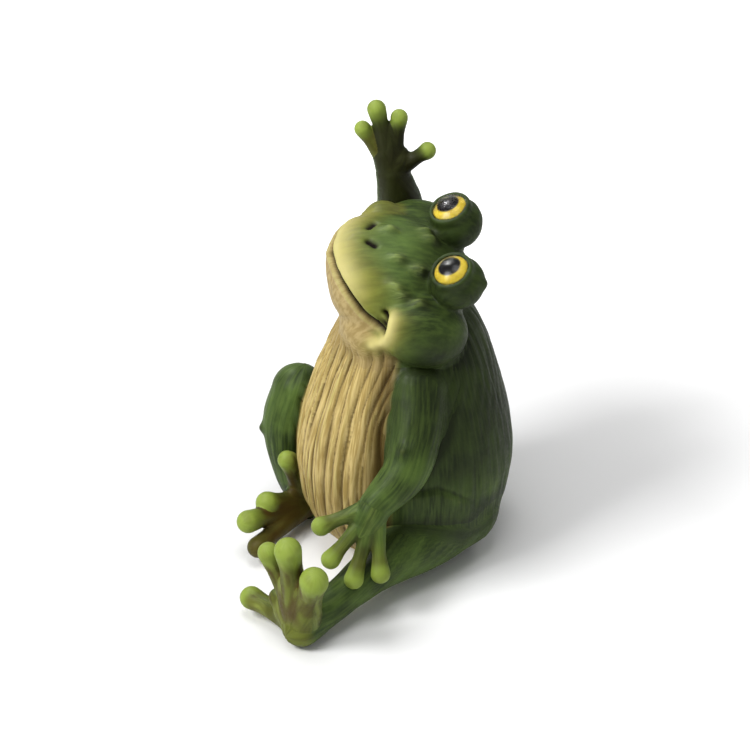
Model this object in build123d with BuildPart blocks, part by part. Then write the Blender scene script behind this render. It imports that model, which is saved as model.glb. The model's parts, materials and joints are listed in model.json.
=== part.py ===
from math import cos, radians, sin
import os

from build123d import *

os.makedirs("parts", exist_ok=True)

# Sitting frog ornament, hand painted cast resin. It faces -Y, its left is +X, +Z is up,
# the upright axis of the torso runs through the origin and the figure stands on Z = 0.

# Floor pads and seat
pad_thickness = 1.0
seat_pad_diameter = 40.0
heel_pad_diameter = 5.0
heel_flat = 0.8

# Torso
torso_height = 97.0
torso_width = 78.0
torso_depth = 79.0
wall_thickness = 6.0
pour_hole_diameter = 18.0
plug_thickness = 4.0
torso_height_shares = (0.0, 0.04, 0.10, 0.18, 0.28, 0.38, 0.51, 0.63, 0.76, 0.86, 0.93, 0.975, 1.0)
torso_girth_shares = (0.565, 0.72, 0.85, 0.94, 0.985, 1.0, 0.96, 0.885, 0.78, 0.68, 0.59, 0.48, 0.30)
torso_back_shares = (0.0, 0.0, 0.0, 0.0, 0.005, 0.008, 0.01, 0.015, 0.022, 0.028, 0.03, 0.03, 0.03)
fold_spacing = 10.5
fold_depth = 1.2
fold_width = 4.0
fold_end_share = 0.25
fold_steps = (-4, -3, -2, -1, 0, 1, 2, 3, 4)
fold_first = 2
fold_last = 10
cavity_share = 0.70
cavity_height_shares = (0.0, 0.12, 0.40, 0.70, 0.90, 1.0)
cavity_girth_shares = (0.62, 0.82, 1.0, 0.93, 0.72, 0.45)
floor_cut_share = 4.0

# Glue lines and fits
glue_gap = 0.15
neck_gap = 0.6
pin_clearance = 0.1
eye_clearance = 0.1

# Head
head_width = 46.0
head_length = 48.0
head_height = 28.0
head_centre_shares = (0.038, -0.026, 1.139)
head_turn = -33.0
head_lean = 22.0
head_lift = 26.0
head_station_shares = (-0.50, -0.42, -0.25, -0.08, 0.08, 0.25, 0.40, 0.50, 0.555)
head_breadth_shares = (0.30, 0.68, 0.92, 1.01, 1.04, 0.97, 0.78, 0.50, 0.20)
head_crown_shares = (0.10, 0.31, 0.43, 0.47, 0.45, 0.36, 0.25, 0.11, -0.04)
head_throat_shares = (-0.25, -0.46, -0.74, -0.88, -0.93, -0.88, -0.74, -0.50, -0.32)
jowl_diameter = 27.0
jowl_length = 33.0
jowl_place_shares = (0.455, 0.18, -0.17)
cheek_diameter = 16.0
cheek_place_shares = (-0.446, -0.146, -0.107)
throat_diameter = 31.0
throat_place_shares = (0.051, -0.152, 0.948)
mouth_gape = 1.3
mouth_depth = 2.2
mouth_tilt = -11.0
mouth_corner_shares = (0.0, -0.158, -0.25)
nostril_width = 1.5
nostril_length = 3.4
nostril_depth = 2.4
nostril_place_shares = ((0.041, -0.356, 0.286), (-0.161, -0.35, 0.25))
nostril_turn = 35.0
nostril_tilt = 20.0

# Eyes
turret_diameter = 19.0
turret_place_shares = (0.30, 0.255, 0.545)
gaze_drop = 46.0
gaze_splay = 6.0
iris_diameter = 13.6
pupil_diameter = 8.4
eye_seat_share = 0.55
lens_bulge = 0.4
lens_thickness = 0.8

# Dowels and wire
neck_dowel_diameter = 6.0
neck_dowel_length = 22.0
neck_dowel_level_share = 0.897
dowel_diameter = 4.0
dowel_length = 13.0
wire_diameter = 2.4

# Straight leg, the frog's left
thigh_thickness = 36.0
straight_leg_reach = 84.0
straight_leg_splay = 15.6
straight_hip_shares = (0.235, 0.11)
straight_along_shares = (0.0, 0.27, 0.55, 0.81, 0.97)
straight_side_shares = (0.0, 0.03, 0.035, 0.03, 0.01)
straight_girth_shares = (1.0, 0.76, 0.46, 0.36, 0.41)
straight_lift_shares = (0.0, 0.06, 0.14, 0.09, 0.0)
straight_dowel_turn = -25.0
straight_dowel_level_share = 0.165
straight_dowel_girth_share = 0.85

# Bent leg, the frog's right
bent_thigh_thickness = 30.0
bent_thigh_length = 45.0
bent_shin_length = 48.0
bent_hip_shares = (-0.23, 0.05, 0.185)
bent_knee_shares = (-0.38, -0.62, 0.69)
bent_thigh_middle_share = 0.82
bent_root_share = 0.385
bent_thigh_girth_shares = (0.74, 0.68)
bent_shin_x_shares = (0.0, 0.02, 0.10, 0.19)
bent_shin_y_shares = (0.0, -0.10, -0.11, -0.05)
bent_shin_fall_shares = (0.0, 0.30, 0.70, 1.0)
bent_shin_girth_shares = (0.68, 0.67, 0.50, 0.40)
bent_dowel_turn = 210.0
bent_dowel_level_share = 0.445
bent_dowel_girth_share = 0.95

# Feet
foot_length = 34.0
toe_thickness = 7.0
toe_tip_diameter = 9.0
sole_thickness = 9.0
sole_reach_share = 0.55
straight_toe_root_shares = (1.12, 0.80, 0.80, 0.90)
bent_toe_root_share = 0.80
sole_share = 0.62
sole_lean = 11.0
straight_toe_across_shares = (-0.72, -0.29, 0.015, 0.315)
straight_toe_up_shares = (0.0, 0.86, 1.04, 0.78)
straight_toe_tip_shares = (0.95, 0.91, 1.06, 1.13)
bent_toe_x_shares = (0.15, 0.18, 0.32, 0.50)
bent_toe_y_shares = (-0.34, -0.62, -0.94, -0.93)
bent_toe_z_shares = (0.75, 0.31, 0.26, 0.03)
bent_toe_tip_shares = (0.78, 0.95, 0.95, 0.89)

# Arms
arm_thickness = 21.0
raised_arm_reach = 60.0
raised_shoulder_shares = (-0.308, 0.077, 0.755)
raised_arm_x_shares = (0.0, -0.15, -0.167, -0.15, -0.15)
raised_arm_y_shares = (0.0, 0.17, 0.233, 0.20, 0.167)
raised_arm_z_shares = (0.0, 0.30, 0.633, 0.80, 0.92)
raised_arm_girth_shares = (0.95, 0.92, 0.84, 0.70, 0.66)
resting_arm_reach = 43.0
resting_shoulder_shares = (0.285, -0.119, 0.755)
resting_arm_x_shares = (0.0, 0.184, 0.291, 0.281)
resting_arm_y_shares = (0.0, -0.158, -0.321, -0.586)
resting_arm_z_shares = (0.0, -0.33, -0.547, -0.77)
resting_arm_girth_shares = (1.0, 0.92, 0.77, 0.57)
resting_dowel_turn = -26.5
resting_dowel_level_share = 0.66
resting_dowel_girth_share = 0.80

# Hands
hand_length = 25.0
finger_thickness = 5.2
fingertip_diameter = 6.9
finger_root_share = 0.86
raised_finger_x_shares = (-0.20, -0.08, 0.08, 0.36)
raised_finger_y_shares = (-0.38, -0.22, 0.06, 0.36)
raised_finger_z_shares = (0.70, 1.01, 0.87, 0.39)
resting_finger_x_shares = (-0.296, -0.016, 0.264, 0.424)
resting_finger_y_shares = (-0.724, -0.744, -0.544, -0.204)
resting_finger_z_shares = (-0.26, -0.65, -0.90, -0.84)

# Shared half sizes and directions
half = 0.5
seam_turn = 37.0
cap_share = 1.03
steady = Vector(0.31, 0.87, 0.38)


def torso_form(grow):
    """Egg shaped body lofted through level ovals, swollen by grow."""
    floor = pad_thickness - grow
    rise = torso_height + grow + grow
    with BuildPart() as form:
        for level_share, girth_share, back_share in zip(torso_height_shares, torso_girth_shares, torso_back_shares):
            with BuildSketch(Plane.XY.offset(floor + level_share * rise)):
                with Locations((0, back_share * torso_depth)):
                    Ellipse(torso_width * half * girth_share + grow, torso_depth * half * girth_share + grow)
        loft()
    return form.part


def belly_fold(turn):
    """Slender form that cuts one fold line down the belly, standing clear of it at both ends."""
    stand = fold_width * half - fold_depth
    points = []
    radii = []
    for index in range(fold_first, fold_last):
        girth_share = torso_girth_shares[index]
        points.append(
            Vector(
                sin(radians(turn)) * (torso_width * half * girth_share + stand),
                torso_back_shares[index] * torso_depth - cos(radians(turn)) * (torso_depth * half * girth_share + stand),
                pad_thickness + torso_height_shares[index] * torso_height,
            )
        )
        radii.append(fold_width * half)
    radii[0] *= fold_end_share
    radii[-1] *= fold_end_share
    return limb(points, radii)


def torso_cavity():
    """Hollow of the torso: the lower rings of the egg, one wall smaller, closed by a narrow top."""
    floor = pad_thickness + wall_thickness
    rise = torso_height * cavity_share - wall_thickness
    with BuildPart() as form:
        for level_share, girth_share in zip(cavity_height_shares, cavity_girth_shares):
            with BuildSketch(Plane.XY.offset(floor + level_share * rise)):
                Ellipse(
                    torso_width * half * girth_share - wall_thickness,
                    torso_depth * half * girth_share - wall_thickness,
                )
        loft()
    return form.part


def head_location():
    """Place of the head: turned to its right, leaned to its left, nose lifted."""
    x_share, y_share, z_share = head_centre_shares
    centre = Location((x_share * torso_width, y_share * torso_depth, pad_thickness + z_share * torso_height))
    turn = Location((0, 0, 0), (0, 0, head_turn))
    lean = Location((0, 0, 0), (0, head_lean, 0))
    lift = Location((0, 0, 0), (-head_lift, 0, 0))
    return centre * turn * lean * lift


def head_spot(shares, side):
    """Place on the head, its own axes kept."""
    x_share, y_share, z_share = shares
    return head_location() * Location((side * x_share * head_width, y_share * head_length, z_share * head_height))


def throat_point():
    """Middle of the throat, between jaw and belly."""
    x_share, y_share, z_share = throat_place_shares
    return Vector(x_share * torso_width, y_share * torso_depth, pad_thickness + z_share * torso_height)


def head_form(grow):
    """Skull, muzzle and jaw lofted through upright ovals from nape to lip, with jowls, far cheek and throat."""
    back = head_location() * Location((0, 0, 0), (90, 0, 0))
    last = len(head_station_shares) - 1
    with BuildPart() as form:
        for index, station_share in enumerate(head_station_shares):
            crown = head_crown_shares[index] * head_height
            throat = head_throat_shares[index] * head_height
            spread = (index == last) - (index == 0)
            middle = Location((0, (crown + throat) * half, station_share * head_length + spread * grow))
            with BuildSketch(Plane(back * middle)):
                Ellipse(head_breadth_shares[index] * head_width * half + grow, (crown - throat) * half + grow)
        loft()
        for side in (1, -1):
            for end in (1, -1):
                spread = Location((0, end * (jowl_length - jowl_diameter) * half, 0))
                add(ball((head_spot(jowl_place_shares, side) * spread).position, jowl_diameter * half + grow))
        add(ball(head_spot(cheek_place_shares, 1).position, cheek_diameter * half + grow))
        add(ball(throat_point(), throat_diameter * half + grow))
    return form.part


def limb(points, radii):
    """Round limb lofted through circles square to its path."""
    last = len(points) - 1
    with BuildPart() as form:
        for index, point in enumerate(points):
            run = (points[min(index + 1, last)] - points[max(index - 1, 0)]).normalized()
            with BuildSketch(Plane(origin=point, x_dir=run.cross(steady), z_dir=run)):
                Circle(radii[index])
        loft()
    return form.part


def ball(point, radius):
    """Ball at a point, its seam turned out of the way of the limbs."""
    return Sphere(radius, mode=Mode.PRIVATE).moved(Location(point, (seam_turn, seam_turn, 0)))


def digit(root, tip, root_radius, radius, tip_radius):
    """Finger or toe with its round tip."""
    middle = root + (tip - root) * half
    with BuildPart() as form:
        add(limb((root, middle, tip), (root_radius, (root_radius + radius) * half, radius)))
        add(ball(tip, tip_radius))
    return form.part


def straight_leg_points(grow):
    """Middle line and radii of the straight leg, which lies on the floor."""
    out_x = cos(radians(straight_leg_splay))
    out_y = sin(radians(straight_leg_splay))
    points = []
    radii = []
    for along_share, side_share, girth_share, lift_share in zip(
        straight_along_shares, straight_side_shares, straight_girth_shares, straight_lift_shares
    ):
        along = along_share * straight_leg_reach
        side = side_share * straight_leg_reach
        radius = girth_share * thigh_thickness * half
        points.append(
            Vector(
                straight_hip_shares[0] * torso_width + along * out_y + side * out_x,
                straight_hip_shares[1] * torso_depth - along * out_x + side * out_y,
                pad_thickness + radius + lift_share * thigh_thickness - heel_flat,
            )
        )
        radii.append(radius + grow)
    return points, radii


def straight_leg_form(grow):
    """Straight leg as far as the heel."""
    points, radii = straight_leg_points(grow)
    with BuildPart() as form:
        add(limb(points, radii))
        add(ball(points[0], radii[0] * cap_share))
        add(ball(points[-1], radii[-1] * cap_share))
    return form.part


def straight_foot_plane():
    """Plane of the upright foot at the heel: x across, y up the sole, leaning forward."""
    points, radii = straight_leg_points(0)
    return Plane(
        points[-1],
        x_dir=(cos(radians(straight_leg_splay)), sin(radians(straight_leg_splay)), 0),
        z_dir=(sin(radians(straight_leg_splay)), -cos(radians(straight_leg_splay)), 0),
    ).rotated((sole_lean, 0, 0))


def straight_toe(index, reach_share):
    """Point on an upright toe, as a share of its length."""
    foot = straight_foot_plane()
    across = straight_toe_across_shares[index] * foot_length * reach_share
    up = straight_toe_up_shares[index] * foot_length * reach_share
    return foot.from_local_coords(Vector(across, up, 0))


def bent_leg_points():
    """Middle lines of the bent leg's thigh and shin; the heel stands on the floor."""
    hip = Vector(
        bent_hip_shares[0] * torso_width,
        bent_hip_shares[1] * torso_depth,
        pad_thickness + bent_hip_shares[2] * torso_height,
    )
    thigh = Vector(*bent_knee_shares) * bent_thigh_length
    knee = hip + thigh
    thigh_points = (hip, hip + thigh * bent_thigh_middle_share, knee)
    thigh_radii = [bent_root_share * torso_width * half]
    thigh_radii += [girth_share * bent_thigh_thickness * half for girth_share in bent_thigh_girth_shares]
    shin_radii = [girth_share * bent_thigh_thickness * half for girth_share in bent_shin_girth_shares]
    heel_level = pad_thickness + shin_radii[-1] - heel_flat
    shin_points = []
    for x_share, y_share, fall_share in zip(bent_shin_x_shares, bent_shin_y_shares, bent_shin_fall_shares):
        shin_points.append(
            Vector(
                knee.X + x_share * bent_shin_length,
                knee.Y + y_share * bent_shin_length,
                knee.Z + fall_share * (heel_level - knee.Z),
            )
        )
    return thigh_points, thigh_radii, shin_points, shin_radii


def raised_arm_points():
    """Middle line and radii of the raised arm as far as the palm."""
    points = []
    for x_share, y_share, z_share in zip(raised_arm_x_shares, raised_arm_y_shares, raised_arm_z_shares):
        points.append(
            Vector(
                raised_shoulder_shares[0] * torso_width + x_share * raised_arm_reach,
                raised_shoulder_shares[1] * torso_depth + y_share * raised_arm_reach,
                pad_thickness + raised_shoulder_shares[2] * torso_height + z_share * raised_arm_reach,
            )
        )
    return points, [girth_share * arm_thickness * half for girth_share in raised_arm_girth_shares]


def resting_arm_points():
    """Middle line and radii of the resting arm as far as the wrist."""
    points = []
    for x_share, y_share, z_share in zip(resting_arm_x_shares, resting_arm_y_shares, resting_arm_z_shares):
        points.append(
            Vector(
                resting_shoulder_shares[0] * torso_width + x_share * resting_arm_reach,
                resting_shoulder_shares[1] * torso_depth + y_share * resting_arm_reach,
                pad_thickness + resting_shoulder_shares[2] * torso_height + z_share * resting_arm_reach,
            )
        )
    return points, [girth_share * arm_thickness * half for girth_share in resting_arm_girth_shares]


def dowel(turn, level_share, girth_share, clearance):
    """Level pin through the torso's wall into a limb, with any clearance all round."""
    ahead = Vector(cos(radians(turn)), sin(radians(turn)), 0)
    middle = Vector(
        ahead.X * girth_share * torso_width * half,
        ahead.Y * girth_share * torso_depth * half,
        pad_thickness + level_share * torso_height,
    )
    place = Plane(middle, x_dir=(0, 0, 1), z_dir=ahead)
    return Cylinder(
        dowel_diameter * half + clearance, dowel_length + clearance + clearance, mode=Mode.PRIVATE
    ).moved(place.location)


def straight_dowel(clearance):
    """Pin of the straight leg."""
    return dowel(straight_dowel_turn, straight_dowel_level_share, straight_dowel_girth_share, clearance)


def bent_dowel(clearance):
    """Pin of the bent leg."""
    return dowel(bent_dowel_turn, bent_dowel_level_share, bent_dowel_girth_share, clearance)


def resting_dowel(clearance):
    """Pin of the resting arm."""
    return dowel(resting_dowel_turn, resting_dowel_level_share, resting_dowel_girth_share, clearance)


def neck_dowel_form(clearance):
    """Upright pin between torso and head."""
    middle = Location((0, 0, pad_thickness + torso_height * neck_dowel_level_share))
    return Cylinder(
        neck_dowel_diameter * half + clearance, neck_dowel_length + clearance + clearance, mode=Mode.PRIVATE
    ).moved(middle)


def arm_wire_form(clearance):
    """Armature wire up the middle of the raised arm, its lower end let into the torso."""
    points, radii = raised_arm_points()
    with BuildPart() as form:
        add(limb(points[:-1], [wire_diameter * half + clearance for point in points[:-1]]))
    return form.part


def eye_plane(side):
    """Plane of an eye at the turret's middle, z along the gaze."""
    place = head_spot(turret_place_shares, side)
    gaze = Location((0, 0, 0), (0, 0, side * gaze_splay)) * Location((0, 0, 0), (gaze_drop, 0, 0))
    return Plane(place * gaze)


def eye_disc(side, diameter, low, high):
    """Round slice about the gaze axis between two heights above the turret's middle."""
    with BuildPart() as form:
        with BuildSketch(eye_plane(side).offset(low)):
            Circle(diameter * half)
        extrude(amount=high - low)
    return form.part


eye_seat = turret_diameter * half * eye_seat_share
eye_rim = turret_diameter * half + lens_bulge

# Torso casting
with BuildPart() as torso_casting:
    add(torso_form(0))
    add(torso_cavity(), mode=Mode.SUBTRACT)
    for step in fold_steps:
        add(belly_fold(step * fold_spacing), mode=Mode.SUBTRACT)
    add(head_form(neck_gap), mode=Mode.SUBTRACT)
    with BuildSketch(Plane.XY.offset(pad_thickness)):
        Circle(pour_hole_diameter * half)
    extrude(amount=wall_thickness + wall_thickness, mode=Mode.SUBTRACT)
    add(neck_dowel_form(pin_clearance), mode=Mode.SUBTRACT)
    add(straight_dowel(pin_clearance), mode=Mode.SUBTRACT)
    add(bent_dowel(pin_clearance), mode=Mode.SUBTRACT)
    add(resting_dowel(pin_clearance), mode=Mode.SUBTRACT)
    add(arm_wire_form(pin_clearance), mode=Mode.SUBTRACT)
torso_casting.part.label = "torso_casting"
export_step(torso_casting.part, "parts/torso_casting.step")

# Head casting
with BuildPart() as head_casting:
    add(head_form(0))
    for side in (1, -1):
        add(ball(head_spot(turret_place_shares, side).position, turret_diameter * half))
    with BuildPart(mode=Mode.SUBTRACT):
        with Locations(head_spot(mouth_corner_shares, 1) * Location((0, 0, 0), (mouth_tilt, 0, 0))):
            Box(
                head_width + head_width,
                head_length,
                mouth_gape,
                align=(Align.CENTER, Align.MAX, Align.CENTER),
            )
        add(head_form(-mouth_depth), mode=Mode.SUBTRACT)
    for side, place_shares in zip((1, -1), nostril_place_shares):
        nostril = head_spot(place_shares, 1) * Location((0, 0, 0), (nostril_tilt, 0, side * nostril_turn))
        with BuildSketch(Plane(nostril)):
            SlotOverall(nostril_length, nostril_width)
        extrude(amount=nostril_depth, both=True, mode=Mode.SUBTRACT)
        add(eye_disc(side, iris_diameter + eye_clearance, eye_seat, eye_rim + eye_rim), mode=Mode.SUBTRACT)
    add(neck_dowel_form(pin_clearance), mode=Mode.SUBTRACT)
head_casting.part.label = "head_casting"
export_step(head_casting.part, "parts/head_casting.step")

# Straight leg casting
with BuildPart() as straight_leg_casting:
    leg_points, leg_radii = straight_leg_points(0)
    add(straight_leg_form(0))
    for index, tip_share in enumerate(straight_toe_tip_shares):
        add(
            digit(
                leg_points[-1],
                straight_toe(index, 1.0),
                leg_radii[-1] * straight_toe_root_shares[index],
                toe_thickness * half,
                toe_tip_diameter * half * tip_share,
            )
        )
    with BuildSketch(straight_foot_plane()):
        with BuildLine():
            Polyline(
                (0, 0),
                straight_foot_plane().to_local_coords(straight_toe(0, sole_reach_share)),
                straight_foot_plane().to_local_coords(straight_toe(1, sole_reach_share)),
                straight_foot_plane().to_local_coords(straight_toe(2, sole_reach_share)),
                straight_foot_plane().to_local_coords(straight_toe(3, sole_reach_share)),
                close=True,
            )
        make_face()
    extrude(amount=sole_thickness * half * sole_share, both=True)
    add(torso_form(glue_gap), mode=Mode.SUBTRACT)
    with BuildSketch(Plane.XY.offset(pad_thickness)):
        Rectangle(torso_width * floor_cut_share, torso_depth * floor_cut_share)
    extrude(amount=-thigh_thickness, mode=Mode.SUBTRACT)
    add(straight_dowel(pin_clearance), mode=Mode.SUBTRACT)
straight_leg_casting.part.label = "straight_leg_casting"
export_step(straight_leg_casting.part, "parts/straight_leg_casting.step")

# Bent leg casting
with BuildPart() as bent_leg_casting:
    thigh_points, thigh_radii, shin_points, shin_radii = bent_leg_points()
    add(limb(thigh_points, thigh_radii))
    add(ball(thigh_points[-1], thigh_radii[-1] * cap_share))
    add(limb(shin_points, shin_radii))
    add(ball(shin_points[-1], shin_radii[-1] * cap_share))
    for x_share, y_share, z_share, tip_share in zip(
        bent_toe_x_shares, bent_toe_y_shares, bent_toe_z_shares, bent_toe_tip_shares
    ):
        add(
            digit(
                shin_points[-1],
                shin_points[-1] + Vector(x_share, y_share, z_share) * foot_length,
                shin_radii[-1] * bent_toe_root_share,
                toe_thickness * half,
                toe_tip_diameter * half * tip_share,
            )
        )
    add(torso_form(glue_gap), mode=Mode.SUBTRACT)
    with BuildSketch(Plane.XY.offset(pad_thickness)):
        Rectangle(torso_width * floor_cut_share, torso_depth * floor_cut_share)
    extrude(amount=-thigh_thickness, mode=Mode.SUBTRACT)
    add(bent_dowel(pin_clearance), mode=Mode.SUBTRACT)
bent_leg_casting.part.label = "bent_leg_casting"
export_step(bent_leg_casting.part, "parts/bent_leg_casting.step")

# Raised arm casting
with BuildPart() as raised_arm_casting:
    arm_points, arm_radii = raised_arm_points()
    add(limb(arm_points, arm_radii))
    add(ball(arm_points[-1], arm_radii[-1] * cap_share))
    for x_share, y_share, z_share in zip(raised_finger_x_shares, raised_finger_y_shares, raised_finger_z_shares):
        add(
            digit(
                arm_points[-1],
                arm_points[-1] + Vector(x_share, y_share, z_share) * hand_length,
                arm_radii[-1] * finger_root_share,
                finger_thickness * half,
                fingertip_diameter * half,
            )
        )
    add(torso_form(glue_gap), mode=Mode.SUBTRACT)
    add(head_form(neck_gap), mode=Mode.SUBTRACT)
    add(arm_wire_form(pin_clearance), mode=Mode.SUBTRACT)
raised_arm_casting.part.label = "raised_arm_casting"
export_step(raised_arm_casting.part, "parts/raised_arm_casting.step")

# Resting arm casting
with BuildPart() as resting_arm_casting:
    arm_points, arm_radii = resting_arm_points()
    add(limb(arm_points, arm_radii))
    add(ball(arm_points[0], arm_radii[0] * cap_share))
    add(ball(arm_points[-1], arm_radii[-1] * cap_share))
    for x_share, y_share, z_share in zip(resting_finger_x_shares, resting_finger_y_shares, resting_finger_z_shares):
        add(
            digit(
                arm_points[-1],
                arm_points[-1] + Vector(x_share, y_share, z_share) * hand_length,
                arm_radii[-1] * finger_root_share,
                finger_thickness * half,
                fingertip_diameter * half,
            )
        )
    add(torso_form(glue_gap), mode=Mode.SUBTRACT)
    add(head_form(neck_gap), mode=Mode.SUBTRACT)
    add(straight_leg_form(glue_gap), mode=Mode.SUBTRACT)
    add(resting_dowel(pin_clearance), mode=Mode.SUBTRACT)
resting_arm_casting.part.label = "resting_arm_casting"
export_step(resting_arm_casting.part, "parts/resting_arm_casting.step")


def pad(x, y, diameter):
    """Felt disc stuck under the figure."""
    with BuildPart() as form:
        with BuildSketch():
            with Locations((x, y)):
                Circle(diameter * half)
        extrude(amount=pad_thickness - glue_gap)
    return form.part


# Pour hole plug
with BuildPart() as base_plug:
    with BuildSketch(Plane.XY.offset(pad_thickness + glue_gap)):
        Circle(pour_hole_diameter * half - pin_clearance)
    extrude(amount=plug_thickness)
base_plug.part.label = "base_plug"
export_step(base_plug.part, "parts/base_plug.step")

# Felt pad under the seat
with BuildPart() as seat_pad:
    add(pad(0, 0, seat_pad_diameter))
seat_pad.part.label = "seat_pad"
export_step(seat_pad.part, "parts/seat_pad.step")

# Felt pads under the heels
with BuildPart() as straight_heel_pad:
    heel = straight_leg_points(0)[0][-1]
    add(pad(heel.X, heel.Y, heel_pad_diameter))
straight_heel_pad.part.label = "straight_heel_pad"
export_step(straight_heel_pad.part, "parts/straight_heel_pad.step")

with BuildPart() as bent_heel_pad:
    heel = bent_leg_points()[2][-1]
    add(pad(heel.X, heel.Y, heel_pad_diameter))
bent_heel_pad.part.label = "bent_heel_pad"
export_step(bent_heel_pad.part, "parts/bent_heel_pad.step")

# Dowels and armature wire
with BuildPart() as neck_dowel:
    add(neck_dowel_form(0))
neck_dowel.part.label = "neck_dowel"
export_step(neck_dowel.part, "parts/neck_dowel.step")

with BuildPart() as straight_leg_dowel:
    add(straight_dowel(0))
straight_leg_dowel.part.label = "straight_leg_dowel"
export_step(straight_leg_dowel.part, "parts/straight_leg_dowel.step")

with BuildPart() as bent_leg_dowel:
    add(bent_dowel(0))
bent_leg_dowel.part.label = "bent_leg_dowel"
export_step(bent_leg_dowel.part, "parts/bent_leg_dowel.step")

with BuildPart() as resting_arm_dowel:
    add(resting_dowel(0))
resting_arm_dowel.part.label = "resting_arm_dowel"
export_step(resting_arm_dowel.part, "parts/resting_arm_dowel.step")

with BuildPart() as raised_arm_wire:
    add(arm_wire_form(0))
raised_arm_wire.part.label = "raised_arm_wire"
export_step(raised_arm_wire.part, "parts/raised_arm_wire.step")

# Eyes: a domed iris ring, a domed pupil in its hole and a clear dome over both
iris_low = eye_seat + glue_gap
lens_inside = eye_rim - lens_thickness
iris_dome = lens_inside - glue_gap


def iris_form(side):
    """Ring of an eye, its top on a ball about the turret's middle."""
    with BuildPart() as form:
        add(eye_disc(side, iris_diameter - eye_clearance, iris_low, eye_rim))
        add(ball(head_spot(turret_place_shares, side).position, iris_dome), mode=Mode.INTERSECT)
        add(eye_disc(side, pupil_diameter + eye_clearance, eye_seat, eye_rim), mode=Mode.SUBTRACT)
    return form.part


def pupil_form(side):
    """Pupil of an eye, level with the ring's dome."""
    with BuildPart() as form:
        add(eye_disc(side, pupil_diameter - eye_clearance, iris_low, eye_rim))
        add(ball(head_spot(turret_place_shares, side).position, iris_dome), mode=Mode.INTERSECT)
    return form.part


def lens_form(side):
    """Clear dome of an eye."""
    with BuildPart() as form:
        add(eye_disc(side, iris_diameter - eye_clearance, iris_low, eye_rim + lens_bulge))
        add(ball(head_spot(turret_place_shares, side).position, eye_rim), mode=Mode.INTERSECT)
        add(ball(head_spot(turret_place_shares, side).position, lens_inside), mode=Mode.SUBTRACT)
    return form.part


with BuildPart() as left_iris:
    add(iris_form(1))
left_iris.part.label = "left_iris"
export_step(left_iris.part, "parts/left_iris.step")

with BuildPart() as right_iris:
    add(iris_form(-1))
right_iris.part.label = "right_iris"
export_step(right_iris.part, "parts/right_iris.step")

with BuildPart() as left_pupil:
    add(pupil_form(1))
left_pupil.part.label = "left_pupil"
export_step(left_pupil.part, "parts/left_pupil.step")

with BuildPart() as right_pupil:
    add(pupil_form(-1))
right_pupil.part.label = "right_pupil"
export_step(right_pupil.part, "parts/right_pupil.step")

with BuildPart() as left_eye_lens:
    add(lens_form(1))
left_eye_lens.part.label = "left_eye_lens"
export_step(left_eye_lens.part, "parts/left_eye_lens.step")

with BuildPart() as right_eye_lens:
    add(lens_form(-1))
right_eye_lens.part.label = "right_eye_lens"
export_step(right_eye_lens.part, "parts/right_eye_lens.step")
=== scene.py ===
"""Sitting frog ornament in hand painted resin: the looks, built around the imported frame."""

import json
import logging
from dataclasses import dataclass, replace
from enum import Enum
from math import cos, pi, radians, sin

import bpy
import numpy as np
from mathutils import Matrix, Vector

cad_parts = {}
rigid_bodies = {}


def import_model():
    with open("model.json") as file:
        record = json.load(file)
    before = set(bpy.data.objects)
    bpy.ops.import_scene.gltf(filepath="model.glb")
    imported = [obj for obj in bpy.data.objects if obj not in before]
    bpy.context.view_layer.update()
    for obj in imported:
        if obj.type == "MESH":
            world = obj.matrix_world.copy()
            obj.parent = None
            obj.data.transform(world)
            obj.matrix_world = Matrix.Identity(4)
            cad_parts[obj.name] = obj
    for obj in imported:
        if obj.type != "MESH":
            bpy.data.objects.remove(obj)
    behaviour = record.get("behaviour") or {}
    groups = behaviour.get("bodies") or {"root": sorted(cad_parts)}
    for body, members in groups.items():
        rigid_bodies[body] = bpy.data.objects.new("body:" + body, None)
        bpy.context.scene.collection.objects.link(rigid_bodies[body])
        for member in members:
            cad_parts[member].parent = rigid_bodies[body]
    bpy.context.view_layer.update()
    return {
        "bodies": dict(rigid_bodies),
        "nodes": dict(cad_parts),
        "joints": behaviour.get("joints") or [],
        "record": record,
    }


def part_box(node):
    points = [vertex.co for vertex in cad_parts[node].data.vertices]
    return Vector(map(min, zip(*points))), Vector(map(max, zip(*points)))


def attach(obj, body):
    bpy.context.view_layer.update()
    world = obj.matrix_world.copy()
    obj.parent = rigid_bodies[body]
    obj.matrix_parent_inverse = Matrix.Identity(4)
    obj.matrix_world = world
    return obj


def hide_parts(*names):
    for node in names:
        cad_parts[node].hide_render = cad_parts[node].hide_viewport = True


LOG = logging.getLogger("frog")
MM = 0.001
STEADY = np.array((0.31, 0.87, 0.38))
PAD_THICKNESS = 1.0
PAD_EDGE = 0.35
HEEL_FLAT = 0.8
DIGIT_STOPS = (0.0, 0.34, 0.72, 1.0)
WHITE = (1.0, 1.0, 1.0, 1.0)


class Side(Enum):
    """The frog's own left and right, as signs along +X."""

    LEFT = 1
    RIGHT = -1


class Member(Enum):
    """What a strand of a casting is."""

    TRUNK = "trunk"
    DIGIT = "digit"
    WEB = "web"


class Mask(Enum):
    """Paint masks, kept as attributes of a casting's points."""

    BELLY = "belly"
    TIP = "tip"
    SOLE = "sole"
    LIP = "lip"
    # CROWN: painted highlight, lighter green on the top of the head
    CROWN = "crown"
    # RECESS: dark wash in the hollows, and painted shade there too
    RECESS = "recess"
    # RIDGE: pale dry brushing on raised places, and painted highlight there too
    RIDGE = "ridge"
    # SHADE: painted shade, the wash colour mixed in where shade falls
    SHADE = "shade"
    INK = "ink"


# Arrays


def smooth_step(low: float, high: float, values: np.ndarray) -> np.ndarray:
    """Ramp from 0 at low to 1 at high, 3t^2 - 2t^3 between, also with low above high.

    Args:
        low: Value where the ramp starts.
        high: Value where the ramp ends.
        values: Where to read the ramp.

    Returns:
        Ramp heights from 0 to 1.
    """
    t = np.clip((values - low) / (high - low), 0.0, 1.0)
    return t * t * (3.0 - 2.0 * t)


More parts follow.
